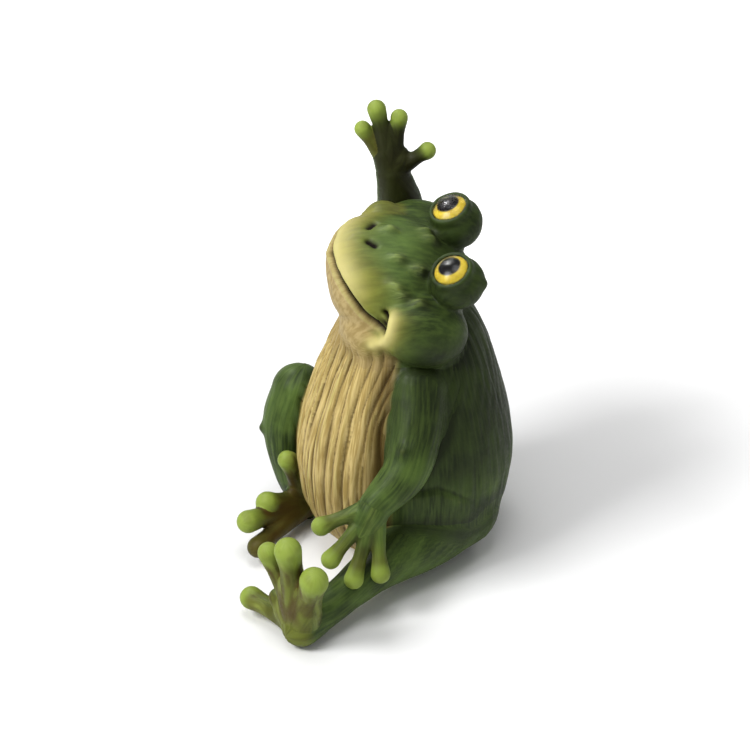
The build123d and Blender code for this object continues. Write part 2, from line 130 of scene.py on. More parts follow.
def bell(distance: np.ndarray, width: float) -> np.ndarray:
    """Bell curve exp(-(d/w)^2) of a distance."""
    return np.exp(-((distance / width) ** 2))


def ridges(count: np.ndarray, power: float) -> np.ndarray:
    """Rounded ridges with narrow valleys, |sin(pi u)|^power of a count u."""
    return np.abs(np.sin(pi * count)) ** power


def unit(rows: np.ndarray) -> np.ndarray:
    """Rows scaled to length one."""
    return rows / np.maximum(np.linalg.norm(rows, axis=-1, keepdims=True), 1e-12)


def spline(rows: np.ndarray, count: int) -> np.ndarray:
    """Smooth curve through rows: on each span the cubic whose end slopes are half its neighbours' chord.

    Args:
        rows: Values to pass through, one row each.
        count: Number of rows to give back, evenly spread over the spans.

    Returns:
        The curve's rows.
    """
    rows = np.asarray(rows, float)
    last = len(rows) - 1
    padded = np.concatenate(([2 * rows[0] - rows[1]], rows, [2 * rows[-1] - rows[-2]]))
    place = np.linspace(0.0, last, count)
    span = np.minimum(place.astype(int), last - 1)
    t = (place - span).reshape((-1,) + (1,) * (rows.ndim - 1))
    a, b, c, d = (padded[span + step] for step in range(4))
    return b + 0.5 * t * (c - a + t * (2 * a - 5 * b + 4 * c - d + t * (3 * (b - c) + d - a)))


@dataclass(frozen=True)
class Noise:
    """Smooth value noise: random numbers on a cubic lattice, blended with 3t^2 - 2t^3 between its points."""

    seed: int
    cell: float
    stretch: tuple = (1.0, 1.0, 1.0)
    side: int = 24

    def __call__(self, points: np.ndarray) -> np.ndarray:
        """Noise at points, on a lattice of the cell's spacing once the points are stretched.

        Args:
            points: Places, one row each.

        Returns:
            Values from -1 to 1.
        """
        lattice = np.random.default_rng(self.seed).uniform(-1.0, 1.0, (self.side,) * 3)
        place = points * self.stretch / self.cell
        low = np.floor(place).astype(int)
        t = place - low
        t = t * t * (3.0 - 2.0 * t)
        total = np.zeros(len(points))
        for corner in np.ndindex(2, 2, 2):
            index = (low + corner) % self.side
            weight = np.prod(np.where(corner, t, 1.0 - t), axis=1)
            total += weight * lattice[index[:, 0], index[:, 1], index[:, 2]]
        return total


# Surfaces


@dataclass
class Shell:
    """Closed surface of points and faces, in millimetres."""

    points: np.ndarray
    faces: list

    def moved(self, turn: np.ndarray, shift: np.ndarray) -> "Shell":
        """Copy of the shell, turned and then shifted."""
        return Shell(self.points @ turn.T + shift, self.faces)

    def piece(self, name: str) -> bpy.types.Object:
        """Linked object of the shell."""
        return linked(name, mesh_of(name, self.points, self.faces))


def ring_faces(rows: int, columns: int, wrap_rows: bool = False) -> np.ndarray:
    """Quads of a grid whose columns close on themselves, and whose rows may too.

    Args:
        rows: Number of rings.
        columns: Number of points on a ring.
        wrap_rows: Whether the last ring joins the first.

    Returns:
        Four point numbers for each quad.
    """
    row = np.arange(rows if wrap_rows else rows - 1)[:, None]
    column = np.arange(columns)[None, :]
    after = (column + 1) % columns
    below = (row + 1) % rows
    upper, lower = row * columns, below * columns
    corners = (upper + column, upper + after, lower + after, lower + column)
    return np.stack(np.broadcast_arrays(*corners), axis=-1).reshape(-1, 4)


def closed_rings(rings: np.ndarray, first: np.ndarray, last: np.ndarray) -> Shell:
    """Skin over rings of points, closed by a fan to a pole at each end.

    Args:
        rings: Points by ring, round the ring and axis.
        first: Pole before the first ring.
        last: Pole after the last ring.

    Returns:
        The closed shell.
    """
    rows, columns = rings.shape[:2]
    points = np.concatenate((rings.reshape(-1, 3), [first, last]))
    turn = np.arange(columns)
    after = (turn + 1) % columns
    base = (rows - 1) * columns
    pole = np.full(columns, rows * columns)
    faces = ring_faces(rows, columns).tolist()
    faces += np.stack((pole, after, turn), axis=1).tolist()
    faces += np.stack((pole + 1, base + turn, base + after), axis=1).tolist()
    return Shell(points, faces)


def path_frame(path: np.ndarray) -> tuple[np.ndarray, np.ndarray, np.ndarray]:
    """Directions along, beside and over a path, the side square to one steady direction.

    Args:
        path: Points of the path.

    Returns:
        Unit rows along the path, to its side and over it.
    """
    ahead = unit(np.gradient(path, axis=0))
    side = unit(np.cross(ahead, STEADY))
    return ahead, side, np.cross(ahead, side)


def tube(points: np.ndarray, radii: np.ndarray, around: int = 40, along: int = 60, cap: int = 10) -> Shell:
    """Circle carried along a smooth path, its radius changing smoothly, with a half ball on each end.

    Args:
        points: Points that the middle line passes through.
        radii: Radius at each point.
        around: Points round the circle.
        along: Circles along the path.
        cap: Circles on each half ball.

    Returns:
        The closed tube.
    """
    path = spline(points, along)
    radius = spline(radii, along)
    ahead, side, over = path_frame(path)
    bend = np.linspace(pi / 2, 0.0, cap + 1)[1:-1]
    back = bend[::-1]
    stretch = np.concatenate((-radius[0] * np.sin(bend), np.zeros(along), radius[-1] * np.sin(back)))
    shrink = np.concatenate((radius[0] * np.cos(bend), radius, radius[-1] * np.cos(back)))
    pick = np.concatenate((np.zeros(cap - 1, int), np.arange(along), np.full(cap - 1, along - 1)))
    middle = path[pick] + ahead[pick] * stretch[:, None]
    angle = np.linspace(0.0, 2 * pi, around, endpoint=False)[None, :, None]
    spoke = np.cos(angle) * side[pick][:, None] + np.sin(angle) * over[pick][:, None]
    rings = middle[:, None] + shrink[:, None, None] * spoke
    return closed_rings(rings, path[0] - ahead[0] * radius[0], path[-1] + ahead[-1] * radius[-1])


def globe(centre: np.ndarray, radii: np.ndarray, rows: int = 48, columns: int = 64) -> Shell:
    """Ball or egg: circles of latitude, each axis stretched by its own radius.

    Args:
        centre: Middle of the ball.
        radii: Radius along each axis.
        rows: Circles of latitude.
        columns: Points round each circle.

    Returns:
        The closed ball.
    """
    tilt = np.linspace(-pi / 2, pi / 2, rows + 2)[1:-1, None]
    turn = np.linspace(0.0, 2 * pi, columns, endpoint=False)[None, :]
    x, y, z = np.cos(tilt) * np.cos(turn), np.cos(tilt) * np.sin(turn), np.sin(tilt) + 0.0 * turn
    radii = np.asarray(radii, float)
    pole = radii * (0, 0, 1)
    return closed_rings(centre + np.stack((x, y, z), axis=-1) * radii, centre - pole, centre + pole)


def revolve(profile: np.ndarray, columns: int = 96) -> Shell:
    """Profile of (radius, height) pairs carried round the Z axis, from pole to pole.

    Args:
        profile: Radius and height at each step; the first and last lie on the axis.
        columns: Points round the axis.

    Returns:
        The closed shell, standing on Z.
    """
    turn = np.linspace(0.0, 2 * pi, columns, endpoint=False)[None, :]
    radius, height = profile[1:-1, :1], profile[1:-1, 1:]
    rings = np.stack((radius * np.cos(turn), radius * np.sin(turn), height + 0.0 * turn), axis=-1)
    poles = np.array((0.0, 0.0, 1.0)) * profile[:, 1:]
    return closed_rings(rings, poles[0], poles[-1])


def mesh_of(name: str, points: np.ndarray, faces: list) -> bpy.types.Mesh:
    """Mesh in metres from points in millimetres.

    Args:
        name: Mesh name.
        points: Points, one row each.
        faces: Point numbers of each face.

    Returns:
        The mesh, its faces shaded smooth.
    """
    mesh = bpy.data.meshes.new(name)
    mesh.from_pydata((points * MM).tolist(), [], faces)
    mesh.polygons.foreach_set("use_smooth", np.ones(len(mesh.polygons), bool))
    mesh.update()
    return mesh


class Skin:
    """Closed surface of quads, held as whole arrays in millimetres, that reliefs are pushed into."""

    SOFT_STEPS = (0.5, -0.52)
    NORMAL_ROUNDS = 8

    def __init__(self, points: np.ndarray, quads: np.ndarray) -> None:
        """Keeps the points and the quads, and works out which points are neighbours.

        Args:
            points: Points in millimetres, one row each.
            quads: Four point numbers for each quad.
        """
        self.points = points
        self.quads = quads
        self.start = quads.reshape(-1)
        self.end = np.roll(quads, -1, axis=1).reshape(-1)
        self.count = np.maximum(np.bincount(self.start, minlength=len(points)), 1)

    @classmethod
    def merged(cls, shells: list, voxel: float) -> "Skin":
        """One skin round overlapping shells, remeshed to even quads.

        Args:
            shells: Closed shells that overlap.
            voxel: Edge of a quad, in millimetres.

        Returns:
            The merged skin.
        """
        starts = np.cumsum([0] + [len(shell.points) for shell in shells]).tolist()
        points = np.concatenate([shell.points for shell in shells])
        faces = [[at + corner for corner in face] for at, shell in zip(starts, shells) for face in shell.faces]
        piece = bpy.data.objects.new("merge", mesh_of("merge", points, faces))
        bpy.context.scene.collection.objects.link(piece)
        remesh = piece.modifiers.new("even", "REMESH")
        remesh.mode = "VOXEL"
        remesh.voxel_size = voxel * MM
        mesh = bpy.data.meshes.new_from_object(piece.evaluated_get(bpy.context.evaluated_depsgraph_get()))
        flat = np.empty(len(mesh.vertices) * 3, np.float32)
        mesh.vertices.foreach_get("co", flat)
        corners = np.empty(len(mesh.loops), np.int32)
        mesh.loops.foreach_get("vertex_index", corners)
        bpy.data.objects.remove(piece)
        bpy.data.meshes.remove(mesh)
        return cls(flat.reshape(-1, 3).astype(float) / MM, corners.reshape(-1, 4).astype(int))

    def mean(self, values: np.ndarray) -> np.ndarray:
        """Mean of each point's neighbours.

        Args:
            values: One number or one row for each point.

        Returns:
            The neighbours' means, shaped as the values are.
        """
        if values.ndim == 1:
            return np.bincount(self.start, values[self.end], len(values)) / self.count
        return np.stack([self.mean(column) for column in values.T], axis=1)

    def soften(self, rounds: int) -> None:
        """Smooths the skin by steps in and out, so that it keeps its volume."""
        for step in self.SOFT_STEPS * rounds:
            self.points = self.points + step * (self.mean(self.points) - self.points)

    def fill(self, rounds: int, step: float = 0.6) -> None:
        """Fills creases: only points that lie below their neighbours are drawn out, along their normals.

        Args:
            rounds: How often; more rounds make wider fillets.
            step: Share of the way to the neighbours' mean in one round.
        """
        for count in range(rounds):
            if count % self.NORMAL_ROUNDS == 0:
                normal = self.normals()
            rise = np.sum((self.mean(self.points) - self.points) * normal, axis=1)
            self.points = self.points + step * np.maximum(rise, 0.0)[:, None] * normal

    def spread(self, values: np.ndarray, rounds: int) -> np.ndarray:
        """Values blurred over the skin, half way to the neighbours' mean in each round.

        Args:
            values: One number or one row for each point.
            rounds: How often.

        Returns:
            The blurred values.
        """
        for _ in range(rounds):
            values = 0.5 * (values + self.mean(values))
        return values

    def normals(self) -> np.ndarray:
        """Outward unit normals: the quads' crossed diagonals, summed at each point.

        Returns:
            One unit row for each point.
        """
        corner = self.points[self.quads]
        across = np.cross(corner[:, 2] - corner[:, 0], corner[:, 3] - corner[:, 1])
        each = np.repeat(across, 4, axis=0)
        columns = [np.bincount(self.start, column, len(self.points)) for column in each.T]
        return unit(np.stack(columns, axis=1))

    def push(self, heights: np.ndarray) -> None:
        """Moves each point along its normal."""
        self.points = self.points + heights[:, None] * self.normals()

    def hollow(self, rounds: int) -> np.ndarray:
        """How far each point lies below the skin's own blurred form, in millimetres."""
        return np.sum((self.spread(self.points, rounds) - self.points) * self.normals(), axis=1)

    def piece(self, name: str, masks: dict, grain: np.ndarray) -> bpy.types.Object:
        """Object of the skin with its paint masks.

        Args:
            name: Object name.
            masks: Values of each paint mask by Mask.
            grain: Coordinates along and across the brush strokes, in millimetres.

        Returns:
            The linked object.
        """
        mesh = mesh_of(name, self.points, self.quads.tolist())
        for mask, values in masks.items():
            layer = mesh.attributes.new(mask.value, "FLOAT", "POINT")
            layer.data.foreach_set("value", np.clip(values, 0.0, 1.0).astype(np.float32))
        layer = mesh.attributes.new("grain", "FLOAT_VECTOR", "POINT")
        layer.data.foreach_set("vector", (grain * MM).astype(np.float32).reshape(-1))
        return linked(name, mesh)


def linked(name: str, mesh: bpy.types.Mesh) -> bpy.types.Object:
    """Object of a mesh, linked to the scene.

    Args:
        name: Object name.
        mesh: Its mesh.

    Returns:
        The object.
    """
    piece = bpy.data.objects.new(name, mesh)
    bpy.context.scene.collection.objects.link(piece)
    return piece


# Strands of a limb


@dataclass(frozen=True)
class Strand:
    """Round member of a casting: points of its middle line and its radius at each, in millimetres."""

    points: np.ndarray
    radii: np.ndarray
    member: Member = Member.TRUNK

    def shell(self) -> Shell:
        """The strand as a closed tube."""
        return tube(self.points, self.radii)


@dataclass
class Reading:
    """Where each point of a skin lies on its nearest strand."""

    index: np.ndarray
    share: np.ndarray
    reach: np.ndarray
    along: np.ndarray
    angle: np.ndarray
    radius: np.ndarray


def read_strands(strands: list, points: np.ndarray, steps: int = 40) -> Reading:
    """Nearest place on a set of strands for each point.

    Each strand is cut into short steps. A point takes the step whose distance, less the strand's
    radius there, is least, slides on along it to its own foot, and its angle about the strand is
    measured there from the steady side.

    Args:
        strands: The strands of one casting.
        points: Points of its skin.
        steps: Places along each strand.

    Returns:
        Strand number, share of the length without and with the end's ball, length so far, angle
        and radius.
    """
    rows = np.arange(len(points))
    best = np.full(len(points), np.inf)
    reading = Reading(np.zeros(len(points), int), *(np.zeros(len(points)) for _ in range(5)))
    for number, strand in enumerate(strands):
        path = spline(strand.points, steps)
        radius = spline(strand.radii, steps)
        ahead, side, over = path_frame(path)
        run = np.concatenate(([0.0], np.cumsum(np.linalg.norm(np.diff(path, axis=0), axis=1))))
        gap = np.linalg.norm(points[:, None] - path[None], axis=2) - radius[None]
        step = np.argmin(gap, axis=1)
        nearer = gap[rows, step] < best
        best = np.where(nearer, gap[rows, step], best)
        slide = np.sum((points - path[step]) * ahead[step], axis=1)
        place = np.clip(np.interp(run[step] + slide, run, np.arange(steps)), 0.0, steps - 1.001)
        low = place.astype(int)
        part = (place - low)[:, None]
        across, above = (way[low] + part * (way[low + 1] - way[low]) for way in (side, over))
        spoke = points - path[low] - part * (path[low + 1] - path[low])
        angle = np.arctan2(np.sum(spoke * above, axis=1), np.sum(spoke * across, axis=1))
        reading.index = np.where(nearer, number, reading.index)
        reading.share = np.where(nearer, place / (steps - 1.0), reading.share)
        reading.reach = np.where(nearer, (run[step] + slide) / (run[-1] + radius[-1]), reading.reach)
        reading.along = np.where(nearer, run[step] + slide, reading.along)
        reading.angle = np.where(nearer, angle, reading.angle)
        reading.radius = np.where(nearer, radius[step], reading.radius)
    return reading


def strand_gap(strands: list, points: np.ndarray, steps: int = 30) -> np.ndarray:
    """Distance of each point outside the nearest of some strands.

    Args:
        strands: The strands.
        points: Places to measure from.
        steps: Places along each strand.

    Returns:
        Distances in millimetres, below zero inside.
    """
    gap = np.full(len(points), np.inf)
    for strand in strands:
        path, radius = spline(strand.points, steps), spline(strand.radii, steps)
        away = np.linalg.norm(points[:, None] - path[None], axis=2) - radius[None]
        gap = np.minimum(gap, np.min(away, axis=1))
    return gap


def bumps(points: np.ndarray, places: tuple, width: float) -> np.ndarray:
    """Sum of bell shaped bumps of one width and of height one about places, or zero without a place."""
    away = np.linalg.norm(points[:, None] - np.reshape(places, (-1, 3))[None], axis=2)
    return bell(away, width).sum(axis=1)


# Finishes


def tone(red: int, green: int, blue: int) -> tuple[float, float, float, float]:
    """Paint colour from its 0 to 255 values on a screen, as linear light by the sRGB curve."""
    channel = np.array((red, green, blue)) / 255.0
    return (*np.where(channel <= 0.04045, channel / 12.92, ((channel + 0.055) / 1.055) ** 2.4).tolist(), 1.0)


class Wiring:
    """Short hand for adding and linking shader nodes in one tree."""

    def __init__(self, tree: bpy.types.NodeTree) -> None:
        """Keeps the tree."""
        self.tree = tree

    def add(self, kind: str, settings: dict | None = None, **inputs: object) -> bpy.types.Node:
        """Adds a node.

        Args:
            kind: Blender's node type.
            settings: Node properties to set.
            inputs: Socket values or output sockets to link, by socket name with _ for a space.

        Returns:
            The node.
        """
        node = self.tree.nodes.new(kind)
        for key, value in (settings or {}).items():
            setattr(node, key, value)
        for key, value in inputs.items():
            self.feed(node.inputs[key.replace("_", " ")], value)
        return node

    def feed(self, socket: bpy.types.NodeSocket, value: object) -> None:
        """Links an output socket to an input, or sets the input's value.

        Args:
            socket: The input.
            value: Output socket or plain value.
        """
        if isinstance(value, bpy.types.NodeSocket):
            self.tree.links.new(value, socket)
        else:
            socket.default_value = value

    def mix(self, factor: object, low: object, high: object) -> bpy.types.NodeSocket:
        """Mix of two colours.

        Args:
            factor: Share of the second colour.
            low: First colour.
            high: Second colour.

        Returns:
            The mixed colour's socket.
        """
        node = self.add("ShaderNodeMix", {"data_type": "RGBA"}, Factor=factor)
        colours = [socket for socket in node.inputs if socket.type == "RGBA"]
        self.feed(colours[0], low)
        self.feed(colours[1], high)
        return next(socket for socket in node.outputs if socket.type == "RGBA")

    def math(self, operation: str, first: object, second: object) -> bpy.types.NodeSocket:
        """Sum, product or other operation on two numbers, kept within 0 and 1.

        Args:
            operation: Blender's name of the operation.
            first: First number or socket.
            second: Second number or socket.

        Returns:
            The result's socket.
        """
        node = self.add("ShaderNodeMath", {"operation": operation, "use_clamp": True})
        self.feed(node.inputs[0], first)
        self.feed(node.inputs[1], second)
        return node.outputs[0]

    def ramp(self, value: object, low: float, high: float) -> bpy.types.NodeSocket:
        """Value mapped smoothly from low..high to 0..1."""
        smooth = {"interpolation_type": "SMOOTHSTEP"}
        return self.add("ShaderNodeMapRange", smooth, Value=value, From_Min=low, From_Max=high).outputs[0]

    def group(self, tree: bpy.types.NodeTree, **inputs: object) -> bpy.types.Node:
        """Node of a shader group, with its inputs."""
        return self.add("ShaderNodeGroup", {"node_tree": tree}, **inputs)

    def bump(self, shader: bpy.types.Node, height: object, strength: float, distance: float) -> None:
        """Gives a shader a bump of a height socket, with a strength and a depth in metres."""
        node = self.add("ShaderNodeBump", Height=height, Strength=strength, Distance=distance)
        self.feed(shader.inputs["Normal"], node.outputs["Normal"])

    def attribute(self, name: str) -> bpy.types.Node:
        """Node that reads an attribute of the points."""
        return self.add("ShaderNodeAttribute", {"attribute_name": name})


def new_group(name: str, inputs: dict, outputs: dict) -> tuple[bpy.types.NodeTree, Wiring, dict, dict]:
    """Empty shader node group.

    Args:
        name: Group name.
        inputs: Socket types by input name.
        outputs: Socket types by output name.

    Returns:
        The group, its wiring, its input sockets by name and its output sockets by name.
    """
    group = bpy.data.node_groups.new(name, "ShaderNodeTree")
    for label, kind in inputs.items():
        group.interface.new_socket(label, in_out="INPUT", socket_type=kind)
    for label, kind in outputs.items():
        group.interface.new_socket(label, in_out="OUTPUT", socket_type=kind)
    wiring = Wiring(group)
    source = wiring.add("NodeGroupInput")
    sink = wiring.add("NodeGroupOutput")
    entries, exits = (
        {socket.name: socket for socket in sockets if socket.name} for sockets in (source.outputs, sink.inputs)
    )
    return group, wiring, entries, exits


class Effects:
    """Shared shader groups: brush streaks, a wash in hollows that is also painted shade, dry brushing on ridges
    that is also painted highlight, and fine grit.
    """

    FLOAT = "NodeSocketFloat"
    COLOR = "NodeSocketColor"
    VECTOR = "NodeSocketVector"
    STREAK_EDGES = (0.36, 0.66)
    GRIT_EDGES = (0.35, 0.65)
    LEAST_STROKE = 0.35

    def __init__(self) -> None:
        """Builds each group once."""
        self.streaks = self.brush_streaks()
        self.wash = self.hollow_wash_and_shade()
        self.dry = self.dry_brush_and_highlight()
        self.grit = self.fine_grit()

    def brush_streaks(self) -> bpy.types.NodeTree:
        """Long brush marks: noise stretched along the grain, sharpened to strokes.

        Returns:
            The group.
        """
        inputs = {"Grain": self.VECTOR, "Scale": self.FLOAT, "Reach": self.FLOAT}
        group, wiring, source, sink = new_group("brush_streaks", inputs, {"Mask": self.FLOAT})
        ratio = wiring.add("ShaderNodeCombineXYZ", X=source["Reach"], Y=1.0, Z=1.0)
        stretch = wiring.add("ShaderNodeVectorMath", {"operation": "MULTIPLY"})
        wiring.feed(stretch.inputs[0], source["Grain"])
        wiring.feed(stretch.inputs[1], ratio.outputs[0])
        noise = wiring.add("ShaderNodeTexNoise", Vector=stretch.outputs[0], Detail=5.0)
        wiring.feed(noise.inputs["Scale"], source["Scale"])
        wiring.feed(sink["Mask"], wiring.ramp(noise.outputs["Fac"], *self.STREAK_EDGES))
        return group

    def hollow_wash_and_shade(self) -> bpy.types.NodeTree:
        """Thin dark paint that stays in the hollows, and painted shade there too.

        Returns:
            The group.
        """
        inputs = {"Color": self.COLOR, "Wash": self.COLOR, "Recess": self.FLOAT, "Strength": self.FLOAT}
        group, wiring, source, sink = new_group("hollow_wash_and_shade", inputs, {"Color": self.COLOR})
        factor = wiring.math("MULTIPLY", source["Recess"], source["Strength"])
        wiring.feed(sink["Color"], wiring.mix(factor, source["Color"], source["Wash"]))
        return group

    def dry_brush_and_highlight(self) -> bpy.types.NodeTree:
        """Pale paint dragged over the ridges, broken up by the strokes, and painted highlight there too.

        Returns:
            The group.
        """
        inputs = {"Color": self.COLOR, "Pale": self.COLOR}
        inputs |= {"Ridge": self.FLOAT, "Strokes": self.FLOAT, "Strength": self.FLOAT}
        group, wiring, source, sink = new_group("dry_brush_and_highlight", inputs, {"Color": self.COLOR})
        stroke = wiring.math("ADD", source["Strokes"], self.LEAST_STROKE)
        broken = wiring.math("MULTIPLY", source["Ridge"], stroke)
        factor = wiring.math("MULTIPLY", broken, source["Strength"])
        wiring.feed(sink["Color"], wiring.mix(factor, source["Color"], source["Pale"]))
        return group

    def fine_grit(self) -> bpy.types.NodeTree:
        """Small unevenness of brushed paint, as a height and a mask.

        Returns:
            The group.
        """
        outputs = {"Height": self.FLOAT, "Mask": self.FLOAT}
        group, wiring, source, sink = new_group("fine_grit", {"Scale": self.FLOAT}, outputs)
        place = wiring.add("ShaderNodeTexCoord")
        noise = wiring.add("ShaderNodeTexNoise", Vector=place.outputs["Object"], Detail=6.0)
        wiring.feed(noise.inputs["Scale"], source["Scale"])
        wiring.feed(sink["Height"], noise.outputs["Fac"])
        wiring.feed(sink["Mask"], wiring.ramp(noise.outputs["Fac"], *self.GRIT_EDGES))
        return group


def new_material(
    name: str, preview: tuple, **sockets: object
) -> tuple[bpy.types.Material, Wiring, bpy.types.Node]:
    """Material with a Principled shader.

    Args:
        name: Material name.
        preview: Plain colour for the viewport and the shader.
        sockets: Constant values of the shader's sockets, by name with _ for a space.

    Returns:
        The material, its wiring and the shader node.
    """
    material = bpy.data.materials.new(name)
    material.use_nodes = True
    material.diffuse_color = preview
    wiring = Wiring(material.node_tree)
    shader = material.node_tree.nodes["Principled BSDF"]
    shader.inputs["Base Color"].default_value = preview
    for key, value in sockets.items():
        shader.inputs[key.replace("_", " ")].default_value = value
    return material, wiring, shader


@dataclass(frozen=True)
class SkinFinish:
    """Hand painted satin resin: colours by paint mask, shares of the layers and scales of the strokes."""

    name: str
    deep: tuple
    green: tuple
    leaf: tuple
    # crown: painted highlight on the top of the head
    crown: tuple
    tan: tuple
    cream: tuple
    lime: tuple
    olive: tuple
    moss: tuple
    # brown and night: colours of the wash in hollows and of the painted shade
    brown: tuple
    night: tuple
    # pale: dry brushing, and painted highlights
    pale: tuple
    lip: tuple
    ink: tuple
    roughness: float = 0.5
    uneven: float = 0.12
    specular: float = 0.14
    broad_strokes: tuple = (330.0, 0.16)
    narrow_strokes: tuple = (900.0, 0.10)
    leaf_share: float = 0.4
    deep_share: float = 0.3
    moss_share: float = 0.75
    dry_share: float = 0.55
    wash_share: float = 0.85

    def material(self, effects: Effects) -> bpy.types.Material:
        """Builds the paint: streaked greens, masks laid over them with a painted highlight on the crown, a wash
        with painted shade in hollows, dry brushed ridges with painted highlight, and painted shade.

        Args:
            effects: The shared shader groups.

        Returns:
            The material.
        """
        material, wiring, shader = new_material(self.name, self.green, Specular_IOR_Level=self.specular)
        mask = {entry: wiring.attribute(entry.value).outputs["Fac"] for entry in Mask}
        grain = wiring.attribute("grain").outputs["Vector"]
        broad, narrow = (
            wiring.group(effects.streaks, Grain=grain, Scale=scale, Reach=reach).outputs["Mask"]
            for scale, reach in (self.broad_strokes, self.narrow_strokes)
        )
        grit = wiring.group(effects.grit, Scale=900.0)
        cloud = wiring.group(effects.grit, Scale=70.0)
        skin = wiring.mix(cloud.outputs["Mask"], self.deep, self.green)
        skin = wiring.mix(wiring.math("MULTIPLY", narrow, self.leaf_share), skin, self.leaf)
        skin = wiring.mix(wiring.math("MULTIPLY", broad, self.deep_share), skin, self.deep)
        belly = wiring.mix(narrow, self.tan, self.cream)
        sole = wiring.mix(wiring.math("MULTIPLY", broad, self.moss_share), self.olive, self.moss)
        # The crown layer is a painted highlight on the top of the head.
        layers = {Mask.CROWN: self.crown, Mask.BELLY: belly, Mask.SOLE: sole}
        layers |= {Mask.LIP: self.lip, Mask.TIP: self.lime}
        for entry, paint in layers.items():
            skin = wiring.mix(mask[entry], skin, paint)
        # Dry brushing on the ridges, which also paints highlights there.
        dry = wiring.group(effects.dry, Color=skin, Pale=self.pale, Strength=self.dry_share)
        wiring.feed(dry.inputs["Ridge"], mask[Mask.RIDGE])
        wiring.feed(dry.inputs["Strokes"], narrow)
        # Wash colour, brown over belly, sole and lip, else night green; it serves the wash in hollows and the
        # painted shade.
        warm = wiring.math("MAXIMUM", mask[Mask.SOLE], mask[Mask.LIP])
        warm = wiring.math("MAXIMUM", mask[Mask.BELLY], warm)
        wash = wiring.mix(warm, self.night, self.brown)
        washed = wiring.group(effects.wash, Wash=wash, Recess=mask[Mask.RECESS], Strength=self.wash_share)
        wiring.feed(washed.inputs["Color"], dry.outputs["Color"])
        # Painted shade: the shade mask mixes in the wash colour.
        skin = wiring.mix(mask[Mask.SHADE], washed.outputs["Color"], wash)
        skin = wiring.mix(mask[Mask.INK], skin, self.ink)
        wiring.feed(shader.inputs["Base Color"], skin)
        gloss = wiring.math("MULTIPLY_ADD", grit.outputs["Mask"], self.uneven)
        gloss.node.inputs[2].default_value = self.roughness - 0.5 * self.uneven
        matt = wiring.math("MULTIPLY", mask[Mask.INK], 0.85)
        wiring.feed(shader.inputs["Roughness"], wiring.math("MAXIMUM", gloss, matt))
        wiring.bump(shader, grit.outputs["Height"], 0.25, 0.00025)
        return material


@dataclass(frozen=True)
class EyeFinish:
    """Glossy eye paint: amber to yellow ring with a dark inner line, black pupil and a clear dome."""

    amber: tuple
    yellow: tuple
    line: tuple
    black: tuple
    amber_edge: tuple = (0.55, 1.0)
    inner_edge: tuple = (0.16, 0.04)
    outer_edge: tuple = (0.62, 0.74)
    pupil_lift: float = 2.0
    lens_roughness: float = 0.2
    lens_index: float = 1.25

    def iris(self, effects: Effects) -> bpy.types.Material:
        """Yellow ring, coloured by the share of its width kept in the attribute ring.

        Args:
            effects: The shared shader groups.

        Returns:
            The material.
        """
        sockets = {"Roughness": 0.3, "Specular_IOR_Level": 0.1}
        material, wiring, shader = new_material("iris_paint", self.yellow, **sockets)
        ring = wiring.attribute("ring").outputs["Fac"]
        grit = wiring.group(effects.grit, Scale=1600.0)
        base = wiring.mix(wiring.math("MULTIPLY", grit.outputs["Mask"], 0.5), self.yellow, self.amber)
        base = wiring.mix(wiring.ramp(ring, *self.amber_edge), base, self.amber)
        base = wiring.mix(wiring.ramp(ring, *self.inner_edge), base, self.line)
        outer = wiring.math("MULTIPLY", wiring.ramp(ring, *self.outer_edge), 0.7)
        wiring.feed(shader.inputs["Base Color"], wiring.mix(outer, base, self.line))
        return material

    def pupil(self, effects: Effects) -> bpy.types.Material:
        """Black paint, a little uneven, without a gloss of its own.

        Args:
            effects: The shared shader groups.

        Returns:
            The material.
        """
        sockets = {"Roughness": 0.5, "Specular_IOR_Level": 0.0}
        material, wiring, shader = new_material("pupil_paint", self.black, **sockets)
        grit = wiring.group(effects.grit, Scale=700.0)
        lifted = tuple(self.pupil_lift * value for value in self.black[:3]) + (1.0,)
        wiring.feed(shader.inputs["Base Color"], wiring.mix(grit.outputs["Mask"], self.black, lifted))
        return material

    def lens(self, effects: Effects) -> bpy.types.Material:
        """Clear dome with faint waves.

        Args:
            effects: The shared shader groups.

        Returns:
            The material.
        """
        material, wiring, shader = new_material(
            "clear_dome", WHITE, Roughness=self.lens_roughness, IOR=self.lens_index, Transmission_Weight=1.0
        )
        grit = wiring.group(effects.grit, Scale=260.0)
        wiring.bump(shader, grit.outputs["Height"], 0.003, 0.0002)
        return material


@dataclass(frozen=True)
class PlainFinish:
    """Steel, rubber or felt: two colours mixed by grit, with a bump."""

    name: str
    dark: tuple
    light: tuple
    roughness: float
    metallic: float
    scale: float
    bump: float
    bump_share: float = 0.6

    def material(self, effects: Effects) -> bpy.types.Material:
        """Builds the finish.

        Args:
            effects: The shared shader groups.

        Returns:
            The material.
        """
        material, wiring, shader = new_material(
            self.name, self.light, Roughness=self.roughness, Metallic=self.metallic
        )
        grit = wiring.group(effects.grit, Scale=self.scale)
        wiring.feed(shader.inputs["Base Color"], wiring.mix(grit.outputs["Mask"], self.dark, self.light))
        wiring.bump(shader, grit.outputs["Height"], self.bump_share, self.bump)
        return material


